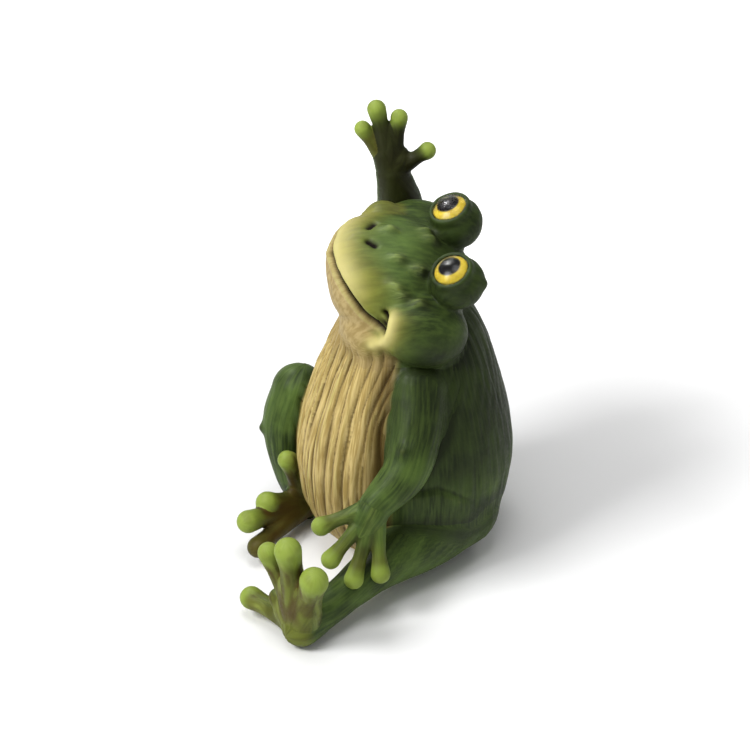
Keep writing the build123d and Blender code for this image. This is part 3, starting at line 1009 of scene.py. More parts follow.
BODY_PAINT = SkinFinish(
    name="body_paint",
    deep=tone(42, 56, 25),
    green=tone(77, 99, 43),
    leaf=tone(102, 124, 56),
    # crown: painted highlight on the top of the head
    crown=tone(120, 144, 74),
    tan=tone(160, 137, 78),
    cream=tone(200, 178, 118),
    lime=tone(134, 154, 62),
    olive=tone(104, 112, 42),
    moss=tone(70, 70, 24),
    # brown and night: wash in hollows and painted shade
    brown=tone(72, 55, 22),
    night=tone(19, 24, 9),
    # pale: dry brushing and painted highlights
    pale=tone(168, 180, 92),
    lip=tone(214, 200, 134),
    ink=tone(30, 16, 8),
)
HEAD_PAINT = replace(
    BODY_PAINT,
    name="head_paint",
    # crown: painted highlight on the top of the head
    crown=tone(104, 130, 66),
    tan=tone(152, 131, 81),
    cream=tone(178, 157, 106),
    lime=tone(182, 184, 92),
    olive=tone(148, 144, 62),
    moss=tone(116, 114, 46),
    # brown: wash in hollows and painted shade
    brown=tone(76, 58, 25),
    # pale: dry brushing and painted highlights
    pale=tone(150, 164, 94),
    lip=tone(214, 202, 132),
    ink=tone(15, 6, 3),
)
EYE_PAINT = EyeFinish(tone(186, 152, 36), tone(224, 200, 60), tone(58, 46, 14), tone(7, 7, 9))
STEEL = PlainFinish("drawn_steel", tone(120, 120, 122), tone(176, 176, 178), 0.35, 1.0, 500.0, 0.00005)
FELT = PlainFinish("green_felt", tone(40, 50, 34), tone(66, 80, 56), 0.95, 0.0, 1500.0, 0.0003)
RUBBER = PlainFinish("stopper_rubber", tone(40, 40, 38), tone(62, 62, 60), 0.7, 0.0, 900.0, 0.0001)


# Castings: a pair of values named for edges, levels or turns is the start and the end of a smooth step


@dataclass(frozen=True)
class Region:
    """Soft edged region of paint: a strength, and ramps of three coordinates from one value to another."""

    strength: float = 1.0
    x: tuple | None = None
    y: tuple | None = None
    z: tuple | None = None

    def __call__(self, points: np.ndarray) -> np.ndarray:
        """Product of the ramps and the strength.

        Args:
            points: The coordinates, one row for each point.

        Returns:
            Shares of the region.
        """
        share = np.full(len(points), self.strength)
        for values, ramp in zip(points.T, (self.x, self.y, self.z)):
            share = share * smooth_step(*ramp, values) if ramp else share
        return share


@dataclass
class Torso:
    """Egg shaped body: sizes in millimetres, shares of them, and angles about it in degrees."""

    height: float = 97.0
    width: float = 78.0
    depth: float = 79.0
    level_shares: tuple = (0.0, 0.04, 0.10, 0.18, 0.28, 0.38, 0.51, 0.63, 0.76, 0.86, 0.93, 0.975, 1.0)
    girth_shares: tuple = (0.565, 0.72, 0.85, 0.94, 0.985, 1.0, 0.96, 0.885, 0.78, 0.68, 0.59, 0.48, 0.30)
    back_shares: tuple = (0.0, 0.0, 0.0, 0.0, 0.005, 0.008, 0.01, 0.015, 0.022, 0.028, 0.03, 0.03, 0.03)
    voxel: float = 0.6
    belly_reach: float = 48.0
    belly_wander: float = 4.0
    fold_spacing: float = 10.5
    fold_wander: float = 0.42
    fold_depth: float = 1.25
    strand_wander: float = 0.26
    strand_depth: float = 1.25
    line_depth: float = 0.14
    fold_lean: float = 24.0
    lean_levels: tuple = (0.60, 0.90)
    lean_turns: tuple = (8.0, 62.0)
    back_spacing: float = 9.5
    back_depth: float = 0.28
    back_levels: tuple = (0.55, 0.75)
    streak_depth: float = 0.16
    haunch_turns: tuple = (50.0, 65.0, 74.0, 81.0, 89.0, 101.0, 115.0)
    haunch_heights: tuple = (39.5, 40.3, 40.4, 38.0, 34.0, 28.0, 24.0)
    haunch_rise: float = 1.0
    # Painted shade on flanks and back and on the belly beside the left arm; foot: the body darker towards its
    # foot.
    flanks: Region = Region(0.68, y=(54.0, 88.0), z=(0.26, 0.48))
    arm_side: Region = Region(0.85, x=(24.0, 46.0), z=(0.98, 0.80))
    foot: Region = Region(0.35, z=(0.45, 0.05))
    fold_noise: Noise = Noise(3, 9.0, (0.34, 0.40, 1.0))
    swell_noise: Noise = Noise(9, 1.7)
    strand_noise: Noise = Noise(6, 7.0, (0.5, 0.30, 1.0))
    split_noise: Noise = Noise(7, 1.7)
    line_noise: Noise = Noise(8, 6.0, (0.5, 0.3, 1.0))
    belly_noise: Noise = Noise(5, 13.0)
    back_noise: Noise = Noise(11, 9.0, (0.3, 0.4, 1.0))
    streak_noise: Noise = Noise(13, 2.2, (1.0, 0.22, 1.0))

    def place(self, x_share: float, y_share: float, z_share: float) -> np.ndarray:
        """Point at shares of the body's width, depth and height above the floor pads."""
        return np.array((x_share * self.width, y_share * self.depth, PAD_THICKNESS + z_share * self.height))

    def shell(self, rows: int = 160, columns: int = 256) -> Shell:
        """Level ovals whose size follows a smooth curve through the girth shares.

        Args:
            rows: Ovals from floor to neck.
            columns: Points round each oval.

        Returns:
            The closed body.
        """
        table = spline(np.stack((self.level_shares, self.girth_shares, self.back_shares), axis=1), rows)
        turn = np.linspace(0.0, 2 * pi, columns, endpoint=False)[None, :]
        level, girth, back = (column[:, None] for column in table.T)
        x = 0.5 * self.width * girth * np.cos(turn)
        y = 0.5 * self.depth * girth * np.sin(turn) + back * self.depth
        z = PAD_THICKNESS + level * self.height + 0.0 * turn
        low = self.place(0.0, 0.0, 0.0)
        return closed_rings(np.stack((x, y, z), axis=-1), low, self.place(0.0, self.back_shares[-1], 1.0))

    def patch(self, root: np.ndarray, reach: float) -> Shell:
        """The body's own surface about a root inside it, drawn in towards the root farther away.

        Args:
            root: Place inside the body.
            reach: Distance from the root as far as which the surface is kept.

        Returns:
            A closed shell that dives under the body beyond the reach.
        """
        shell = self.shell(100, 160)
        away = shell.points - root
        far = np.linalg.norm(away, axis=1)
        keep = 1.0 - smooth_step(reach, 1.9 * reach, far) * (1.0 - 0.3 * reach / np.maximum(far, reach))
        lift = 0.35 * smooth_step(reach, 0.7 * reach, far) - 0.25
        return Shell(root + unit(away) * (far * keep + lift)[:, None], shell.faces)

    def polar(self, points: np.ndarray) -> tuple[np.ndarray, np.ndarray]:
        """Share of the height, and angle about the body: 0 in front, 90 degrees on the frog's left.

        Args:
            points: Points on or near the body.

        Returns:
            Level and angle of each point.
        """
        level = (points[:, 2] - PAD_THICKNESS) / self.height
        return level, np.degrees(np.arctan2(points[:, 0], -points[:, 1]))

    def clearance(self, points: np.ndarray) -> np.ndarray:
        """Rough distance outside the body's surface, from its girth at each point's level.

        Args:
            points: Points on or near the body.

        Returns:
            Distances in millimetres, below zero inside.
        """
        level, _ = self.polar(points)
        girth = np.interp(level, self.level_shares, self.girth_shares)
        back = np.interp(level, self.level_shares, self.back_shares) * self.depth
        reach = np.hypot(points[:, 0] * 2 / self.width, (points[:, 1] - back) * 2 / self.depth)
        return (reach - girth) * 0.25 * (self.width + self.depth)

    def ropes(self, turn: np.ndarray, sheet: np.ndarray) -> np.ndarray:
        """Relief of the belly: ropes over a count of the angle, split into strands and again into fine lines.

        The count wanders with noise, each rope swells along its length, and the strands come and go.

        Args:
            turn: Angle about the body, less the lean of the folds.
            sheet: Angle and height, where the noise is read.

        Returns:
            Heights in millimetres, about zero.
        """
        count = turn / self.fold_spacing + self.fold_wander * self.fold_noise(sheet)
        rows = np.stack((np.floor(count) * 5.3, sheet[:, 1] * 0.10, 0.0 * turn), axis=1)
        swell = 0.85 + 0.4 * self.swell_noise(rows)
        rope = self.fold_depth * swell * (ridges(count, 0.75) - 0.66)
        inner = count + self.strand_wander * self.strand_noise(sheet)
        split = ridges(2 * inner, 0.7) * smooth_step(-0.7, 0.1, self.split_noise(rows + 40.0))
        fine = np.abs(np.sin(4 * pi * inner + 0.9)) * smooth_step(-0.2, 0.5, self.line_noise(sheet))
        return rope + self.strand_depth * (split - 0.55) + self.line_depth * (fine - 0.3)

    def haunch(self, turn: np.ndarray, height: np.ndarray) -> np.ndarray:
        """Rise of the left haunch, below a crease that falls round the body.

        Args:
            turn: Angle about the body.
            height: Height above the floor.

        Returns:
            Heights of the relief in millimetres.
        """
        below = np.interp(turn, self.haunch_turns, self.haunch_heights) - height
        side = smooth_step(44.0, 58.0, turn) * smooth_step(106.0, 84.0, turn)
        rise = smooth_step(-0.8, 2.0, below) * smooth_step(30.0, 12.0, below)
        crease = 0.35 * bell(below + 0.9, 1.5)
        return side * (self.haunch_rise * rise - crease)

    def folds(self, points: np.ndarray) -> tuple[np.ndarray, np.ndarray, np.ndarray]:
        """Skin folds of the body, the same for every casting that meets it.

        The belly's ropes lean out towards the shoulders. The back has ridges of the same kind,
        flatter, and all of it fine streaks.

        Args:
            points: Points on or near the body.

        Returns:
            Heights in millimetres, the belly mask, and the grain along and around the body.
        """
        level, turn = self.polar(points)
        girth = np.interp(level, self.level_shares, self.girth_shares)
        sheet = np.stack((turn, points[:, 2], 0.0 * turn), axis=1)
        lean = self.fold_lean * smooth_step(*self.lean_levels, level)
        lean = lean * smooth_step(*self.lean_turns, np.abs(turn)) * np.sign(turn)
        edge = np.abs(turn) + self.belly_wander * self.belly_noise(sheet)
        belly = smooth_step(self.belly_reach + 5.0, self.belly_reach - 5.0, edge)
        back_count = (turn - lean) / self.back_spacing + self.back_noise(sheet)
        upper = 0.5 + 0.4 * smooth_step(*self.back_levels, level)
        back = self.back_depth * upper * (ridges(back_count, 0.7) - 0.65)
        fold = np.sqrt(girth) * self.ropes(turn - lean, sheet)
        fade = smooth_step(0.0, 0.12, level)
        streak = self.streak_depth * self.streak_noise(sheet)
        heights = (fold * belly + back * (1.0 - belly)) * fade + streak + self.haunch(turn, points[:, 2])
        return heights, belly, np.stack((points[:, 2], np.radians(turn) * 0.5 * self.width, 0.0 * turn), axis=1)

    def dimmed(self, points: np.ndarray, belly: np.ndarray) -> np.ndarray:
        """Painted shade on flanks and back and on the belly beside the left arm, and the body darker towards
        its foot.

        Its regions lie over the angle, the angle without its sign, and the level.

        Args:
            points: Points on or near the body.
            belly: The belly mask there.

        Returns:
            Shares of painted shade, and of the darkening towards the foot.
        """
        level, turn = self.polar(points)
        sheet = np.stack((turn, np.abs(turn), level), axis=1)
        return np.maximum.reduce((self.flanks(sheet), self.foot(sheet), self.arm_side(sheet) * belly))

    def build(self, near: list) -> tuple[Skin, dict, np.ndarray]:
        """Skin with belly folds, soft back folds and haunch.

        Args:
            near: Strands that lie against the body and shade it.

        Returns:
            The skin, its paint masks and its grain.
        """
        skin = Skin.merged([self.shell()], self.voxel)
        skin.soften(3)
        relief, belly, grain = self.folds(skin.points)
        _, turn = self.polar(skin.points)
        shade = self.dimmed(skin.points, belly)
        # Painted shade on the body close to the limbs and under the jowl.
        close = smooth_step(6.0, 0.0, strand_gap(near, skin.points))
        relief = skin.spread(relief, 2)
        skin.push(relief)
        skin.points[:, 2] = np.maximum(skin.points[:, 2], PAD_THICKNESS)
        valley = skin.spread(relief, 9) - relief
        # Recess: wash with painted shade in the fold valleys; ridge: dry brushing with painted highlight on
        # crests; sole: olive towards the left arm, also darkening it as painted shade.
        masks = {
            Mask.BELLY: belly,
            Mask.RECESS: smooth_step(0.03, 0.30, valley),
            Mask.RIDGE: smooth_step(0.10, 0.45, -valley),
            Mask.SHADE: np.minimum(shade + 0.5 * close, 0.88),
            Mask.SOLE: 0.5 * smooth_step(28.0, 48.0, turn) * belly,
        }
        return skin, masks, grain


@dataclass
class Face:
    """Features of the head, each a share at every point."""

    groove: np.ndarray
    lips: np.ndarray
    hook: np.ndarray
    fold: np.ndarray
    blush: np.ndarray
    nostril: np.ndarray
    wart: np.ndarray
    painted_wart_shadow: np.ndarray


@dataclass
class Head:
    """Head turned to the frog's right, leaned to its left and lifted; sizes in its own frame."""

    width: float = 46.0
    length: float = 48.0
    height: float = 28.0
    centre_shares: tuple = (0.038, -0.026, 1.139)
    turn: float = -33.0
    lean: float = 22.0
    lift: float = 26.0
    station_shares: tuple = (-0.50, -0.42, -0.25, -0.08, 0.08, 0.25, 0.40, 0.50, 0.555)
    breadth_shares: tuple = (0.30, 0.68, 0.92, 1.01, 1.04, 0.97, 0.78, 0.50, 0.20)
    crown_shares: tuple = (0.10, 0.31, 0.43, 0.47, 0.45, 0.36, 0.25, 0.11, -0.04)
    throat_shares: tuple = (-0.25, -0.46, -0.74, -0.88, -0.93, -0.88, -0.74, -0.50, -0.32)
    jowl_radii: tuple = (13.5, 16.5, 13.5)
    jowl_shares: tuple = (0.455, 0.18, -0.17)
    cheek_radius: float = 8.0
    cheek_place: tuple = (-20.5, -7.0, -3.0)
    turret_radius: float = 9.5
    turret_shares: tuple = (0.30, 0.255, 0.545)
    gaze_drop: float = 46.0
    gaze_splay: float = 6.0
    lid_radius: float = 6.4
    seat_radius: float = 5.8
    eye_seat: float = 5.2
    throat_radius: float = 15.3
    throat_place: tuple = (0.051, -0.152, 0.948)
    neck_shares: tuple = (0.0, 0.0, 0.84)
    neck_reach: float = 32.0
    mouth: tuple = (
        (0.0, -27.0, -3.2), (3.8, -26.7, -3.1), (7.3, -25.6, -3.2), (11.1, -24.0, -3.1),
        (14.9, -21.5, -3.3), (17.5, -19.2, -3.8), (19.8, -16.4, -4.6), (21.2, -14.1, -5.4),
        (22.4, -11.5, -5.9), (23.5, -8.7, -6.3), (25.2, -7.0, -6.2), (27.0, -6.0, -5.4),
    )
    hook: tuple = ((27.0, -6.0, -5.4), (26.2, -6.4, -3.4), (24.5, -6.9, -1.7), (22.8, -7.7, -0.9))
    corner: tuple = (25.2, -7.4, -4.4)
    cheek: tuple = (
        (21.8, -5.6, 2.6), (24.9, -5.3, 0.6), (27.4, -5.0, -1.6),
        (29.0, -4.5, -5.0), (28.2, -4.2, -9.5), (26.8, -5.6, -13.5),
    )
    nostrils: tuple = ((1.5, -17.3, 8.3), (-7.9, -16.9, 7.3))
    nostril_ways: tuple = ((0.60, 0.75, 0.28), (-0.80, 0.58, 0.05))
    warts: tuple = (
        (-5.2, -11.1, 9.9), (-7.2, 1.7, 12.3), (-3.6, 3.1, 13.0), (7.3, -8.5, 10.4),
        (10.1, -0.6, 11.2), (16.2, -7.5, 6.5), (18.9, -4.3, 5.5), (21.5, 0.8, 8.0),
    )
    lid_wart: tuple = (15.9, 19.9, 20.5)
    wart_shadow: tuple = (0.6, 2.4, -0.6)
    voxel: float = 0.51
    mouth_width: float = 0.85
    mouth_growth: float = 0.45
    mouth_depth: float = 2.2
    lip_offset: float = 1.9
    lip_width: float = 0.9
    lip_rise: float = 0.55
    hook_width: float = 1.15
    fold_width: float = 2.4
    fold_rise: float = 1.3
    blush_width: float = 5.5
    nostril_length: float = 3.0
    nostril_width: float = 1.4
    nostril_depth: float = 1.6
    wart_stretch: tuple = (1.0, 0.6, 1.0)
    wart_width: float = 1.85
    wart_rise: float = 2.1
    streak_noise: Noise = Noise(21, 2.4, (1.0, 0.4, 1.0))
    muzzle: Region = Region(0.78, y=(-12.0, -24.0), z=(7.0, -2.0))
    band: Region = Region(0.70, y=(-4.0, -17.0), z=(10.5, 2.0))
    jaw: Region = Region(x=(33.0, 27.0), y=(1.0, -5.0), z=(-8.0, -12.0))
    jaw_side: Region = Region(x=(6.0, 16.0))
    # Painted shade: nape at the back and foot of the head, brow between the eye turrets, under beneath the
    # jowls.
    nape: Region = Region(0.70, y=(-5.0, 9.0), z=(11.0, -2.0))
    brow: Region = Region(0.42, y=(-8.0, 5.0), z=(5.0, 10.0))
    under: Region = Region(0.6, y=(-8.0, -2.0), z=(-6.0, -15.0))
    # Painted highlight: crown, lighter green on the top of the head.
    crown: Region = Region(0.42, y=(2.0, -12.0), z=(4.0, 11.0))

    def turned(self) -> np.ndarray:
        """Rotation from the head's own frame: lift about X, then lean about Y, then turn about Z.

        Returns:
            The rotation as a matrix.
        """
        a, b, c = radians(-self.lift), radians(self.lean), radians(self.turn)
        about_x = np.array(((1, 0, 0), (0, cos(a), -sin(a)), (0, sin(a), cos(a))))
        about_y = np.array(((cos(b), 0, sin(b)), (0, 1, 0), (-sin(b), 0, cos(b))))
        about_z = np.array(((cos(c), -sin(c), 0), (sin(c), cos(c), 0), (0, 0, 1)))
        return about_z @ about_y @ about_x

    def shift(self, torso: Torso) -> np.ndarray:
        """Middle of the head above the body."""
        return torso.place(*self.centre_shares)

    def spot(self, shares: tuple, side: Side) -> np.ndarray:
        """Place at shares of the head's width, length and height."""
        return np.array((side.value * shares[0] * self.width, shares[1] * self.length, shares[2] * self.height))

    def gaze(self, side: Side) -> np.ndarray:
        """Direction of an eye: up, dropped forward, splayed to its side."""
        drop, splay = radians(self.gaze_drop), radians(side.value * self.gaze_splay)
        return np.array((sin(drop) * sin(splay), -sin(drop) * cos(splay), cos(drop)))

    def shells(self) -> list:
        """Upright ovals from nape to lip, with a ball for each jowl, each eye turret and the far cheek.

        Returns:
            Closed shells that overlap, in the head's own frame.
        """
        shares = (self.station_shares, self.breadth_shares, self.crown_shares, self.throat_shares)
        table = spline(np.stack(shares, axis=1), 120)
        station, breadth, crown, throat = (column[:, None] for column in table.T)
        turn = np.linspace(0.0, 2 * pi, 160, endpoint=False)[None, :]
        x = 0.5 * self.width * breadth * np.cos(turn)
        z = 0.5 * self.height * (crown + throat + (crown - throat) * np.sin(turn))
        y = -station * self.length + 0.0 * turn
        rings = np.stack((x, y, z), axis=-1)
        shells = [closed_rings(rings, rings[0].mean(axis=0), rings[-1].mean(axis=0) - (0.0, 1.2, 0.0))]
        for side in Side:
            shells.append(globe(self.spot(self.jowl_shares, side), self.jowl_radii))
            shells.append(globe(self.spot(self.turret_shares, side), (self.turret_radius,) * 3))
        shells.append(globe(np.array(self.cheek_place), (self.cheek_radius,) * 3))
        return shells

    def jowl(self, torso: Torso) -> Strand:
        """The left jowl as a short strand, for the shade that it throws on the body.

        Args:
            torso: The body that carries the head.

        Returns:
            The strand.
        """
        middle = self.spot(self.jowl_shares, Side.LEFT)
        points = middle + np.outer((-1.0, 0.0, 1.0), (0.0, self.jowl_radii[1] - self.jowl_radii[0], 0.0))
        return Strand(points @ self.turned().T + self.shift(torso), np.full(3, self.jowl_radii[0]))

    def base(self, torso: Torso) -> Skin:
        """Head blended into the neck, in the figure's frame.

        Args:
            torso: The body that carries the head.

        Returns:
            The skin without relief.
        """
        turned, shift = self.turned(), self.shift(torso)
        shells = [shell.moved(turned, shift) for shell in self.shells()]
        shells.append(globe(torso.place(*self.throat_place), (self.throat_radius,) * 3))
        shells.append(torso.patch(torso.place(*self.neck_shares), self.neck_reach))
        skin = Skin.merged(shells, self.voxel)
        skin.soften(5)
        skin.fill(78)
        skin.soften(5)
        return skin

    def own(self, points: np.ndarray, torso: Torso) -> np.ndarray:
        """Points of the figure in the head's own frame."""
        return (points - self.shift(torso)) @ self.turned()

    def lids(self, skin: Skin, torso: Torso) -> None:
        """Cuts a round seat into each turret, with a raised lid round it.

        Args:
            skin: The head's skin.
            torso: The body that carries the head.
        """
        for side in Side:
            middle = self.turned() @ self.spot(self.turret_shares, side) + self.shift(torso)
            gaze = self.turned() @ self.gaze(side)
            away = np.linalg.norm(skin.points - middle, axis=1)
            high, wide = self.about_axis(skin.points - middle, gaze)
            near = smooth_step(self.turret_radius + 4.0, self.turret_radius + 1.0, away)
            ring = bell(wide - self.lid_radius - 0.25, 0.75) - 0.35 * bell(wide - self.lid_radius - 2.0, 0.6)
            skin.push(near * smooth_step(-1.0, 3.0, high) * ring)
            high, wide = self.about_axis(skin.points - middle, gaze)
            sunk = smooth_step(self.seat_radius + 0.3, self.seat_radius - 0.25, wide) * (self.eye_seat - high)
            skin.points = skin.points + np.where(high > self.eye_seat, sunk, 0.0)[:, None] * gaze

    def about_axis(self, away: np.ndarray, axis: np.ndarray) -> tuple[np.ndarray, np.ndarray]:
        """Height along an axis and distance from it."""
        high = away @ axis
        return high, np.linalg.norm(away - high[:, None] * axis, axis=1)

    def trace(self, path: tuple, local: np.ndarray, steps: int = 60) -> tuple[np.ndarray, np.ndarray]:
        """Distance from a path drawn on both cheeks, and the share of it at the nearest place.

        Args:
            path: Points of the path on the left cheek.
            local: Points in the head's own frame.
            steps: Places along the path.

        Returns:
            Distances in millimetres and shares.
        """
        line = spline(np.array(path), steps)
        mirrored = np.stack((np.abs(local[:, 0]), local[:, 1], local[:, 2]), axis=1)
        away = np.linalg.norm(mirrored[:, None] - line[None], axis=2)
        nearest = np.argmin(away, axis=1)
        return away[np.arange(len(local)), nearest], nearest / (steps - 1.0)

    def openings(self, local: np.ndarray) -> np.ndarray:
        """Nostrils: bell curves of the distance from two short lines.

        Args:
            local: Points in the head's own frame.

        Returns:
            Shares from 0 to 1.
        """
        nostril = np.zeros(len(local))
        for place, way in zip(self.nostrils, self.nostril_ways):
            away = local - place
            long = away @ unit(np.array(way))
            across = np.sqrt(np.maximum(np.sum(away * away, axis=1) - long * long, 0.0))
            past = np.maximum(np.abs(long) - 0.5 * self.nostril_length, 0.0)
            nostril += bell(np.hypot(across, past), self.nostril_width)
        return nostril

    def face(self, local: np.ndarray) -> Face:
        """Mouth, cheek fold, nostrils and warts with their painted shadows: bell curves of the distance from
        their lines and places.

        Args:
            local: Points in the head's own frame.

        Returns:
            The features.
        """
        left = local[:, 0] > 0
        slit, share = self.trace(self.mouth, local)
        groove = bell(slit, self.mouth_width + self.mouth_growth * share**2)
        lips = bell(slit - self.lip_offset, self.lip_width) * smooth_step(1.0, 0.7, share)
        curl, _ = self.trace(self.hook, local)
        pit = bell(np.linalg.norm(local - self.corner, axis=1), 2.2)
        hook = np.maximum(bell(curl, self.hook_width) * left, pit)
        ridge, along = self.trace(self.cheek, local)
        start = left * smooth_step(-0.05, 0.3, along)
        blush = bell(ridge, self.blush_width) * start
        fold = bell(ridge, self.fold_width) * start * (1.0 - hook)
        wart = bumps(local * self.wart_stretch, np.array(self.warts) * self.wart_stretch, self.wart_width)
        wart += 0.5 * bumps(local, self.lid_wart, 2.0)
        # Painted shadow beside each wart, cut back from the wart itself.
        painted_wart_shadow = bumps(local - self.wart_shadow, self.warts, 2.5) - 0.6 * wart
        return Face(groove, lips, hook, fold, blush, self.openings(local), wart, np.clip(painted_wart_shadow, 0.0, 1.0))

    def paint(self, local: np.ndarray, face: Face, belly: np.ndarray) -> dict:
        """Paint masks of the head without its neck.

        Args:
            local: Points in the head's own frame.
            face: The features there.
            belly: The body's belly mask there.

        Returns:
            Values by Mask.
        """
        x, y, z = local.T
        line = np.array(self.mouth)
        upper = smooth_step(-0.8, 0.8, z - np.interp(np.abs(x), line[:, 0], line[:, 2]))
        chin = (1.0 - upper) * smooth_step(-1.0, -7.0, y - 0.35 * z)
        jaw = (1.0 - upper) * self.jaw(local) * np.maximum(belly, self.jaw_side(local))
        far_cheek = smooth_step(11.0, 7.5, np.linalg.norm(local - self.cheek_place, axis=1))
        turret = np.zeros(len(local))
        for side in Side:
            away = np.linalg.norm(local - self.spot(self.turret_shares, side), axis=1)
            turret = np.maximum(turret, smooth_step(self.turret_radius + 2.0, self.turret_radius, away))
        # Painted shade at the back and foot of the head, between the turrets, under the jowls and as wart
        # shadows; the eye turrets painted darker; the cheek blush kept clear.
        brow = self.brow(local) * (1.0 - turret)
        shade = np.maximum.reduce((self.nape(local), brow, self.under(local), 0.6 * turret))
        shade = (shade + 0.68 * face.painted_wart_shadow) * (1.0 - face.blush)
        sole = np.maximum(upper * self.band(local), 0.42 * far_cheek) + 0.7 * face.blush
        return {
            Mask.BELLY: np.maximum(jaw, chin),
            Mask.LIP: upper * self.muzzle(local) + 0.9 * face.fold + 0.25 * face.lips * (1.0 - upper),
            # Crown: painted highlight on the top of the head.
            Mask.CROWN: self.crown(local) * (1.0 - far_cheek),
            Mask.SOLE: np.minimum(sole, 1.0) * (1.0 - chin),
            Mask.SHADE: np.clip(shade, 0.0, 0.8),
            Mask.INK: 1.3 * np.maximum(face.groove, face.hook) + 1.6 * face.nostril - 0.28,
        }

    def build(self, torso: Torso) -> tuple[Skin, dict, np.ndarray]:
        """Skin with mouth, cheeks, nostrils, warts and eye seats.

        Args:
            torso: The body that carries the head.

        Returns:
            The skin, its paint masks and its grain.
        """
        skin = self.base(torso)
        local = self.own(skin.points, torso)
        face = self.face(local)
        level = skin.points[:, 2] / torso.height
        neck = smooth_step(6.5, 2.0, torso.clearance(skin.points)) * smooth_step(1.0, 0.93, level)
        body_relief, body_belly, body_grain = torso.folds(skin.points)
        heights = self.lip_rise * face.lips - self.mouth_depth * np.maximum(face.groove, face.hook)
        heights = heights + self.fold_rise * face.fold - self.nostril_depth * face.nostril
        heights = heights + self.wart_rise * face.wart + 0.12 * self.streak_noise(local)
        relief = heights * (1.0 - neck) + body_relief * neck
        skin.push(relief)
        self.lids(skin, torso)
        valley = skin.spread(relief, 6) - relief
        # Painted shade on the neck under the jowl, and the body's painted shade carried up the neck.
        hang = 0.5 * smooth_step(6.0, 0.0, strand_gap([self.jowl(torso)], skin.points))
        rooted = np.maximum(hang, torso.dimmed(skin.points, body_belly))
        masks = self.paint(local, face, body_belly)
        masks[Mask.BELLY] = np.maximum(neck * body_belly, masks[Mask.BELLY])
        masks[Mask.SHADE] = masks[Mask.SHADE] * (1.0 - neck) + rooted * neck
        # Wash with painted shade in the hollows; dry brushing with painted highlight on raised places and on
        # the warts.
        masks[Mask.RECESS] = smooth_step(0.05, 0.5, valley) + smooth_step(0.35, 1.5, skin.hollow(31))
        masks[Mask.RIDGE] = 0.7 * smooth_step(0.05, 0.4, -valley) + 0.75 * face.wart
        x, y, z = local.T
        grain = np.stack((y + z, x, 0.3 * (z - y)), axis=1)
        return skin, masks, grain * (1.0 - neck[:, None]) + body_grain * neck[:, None]


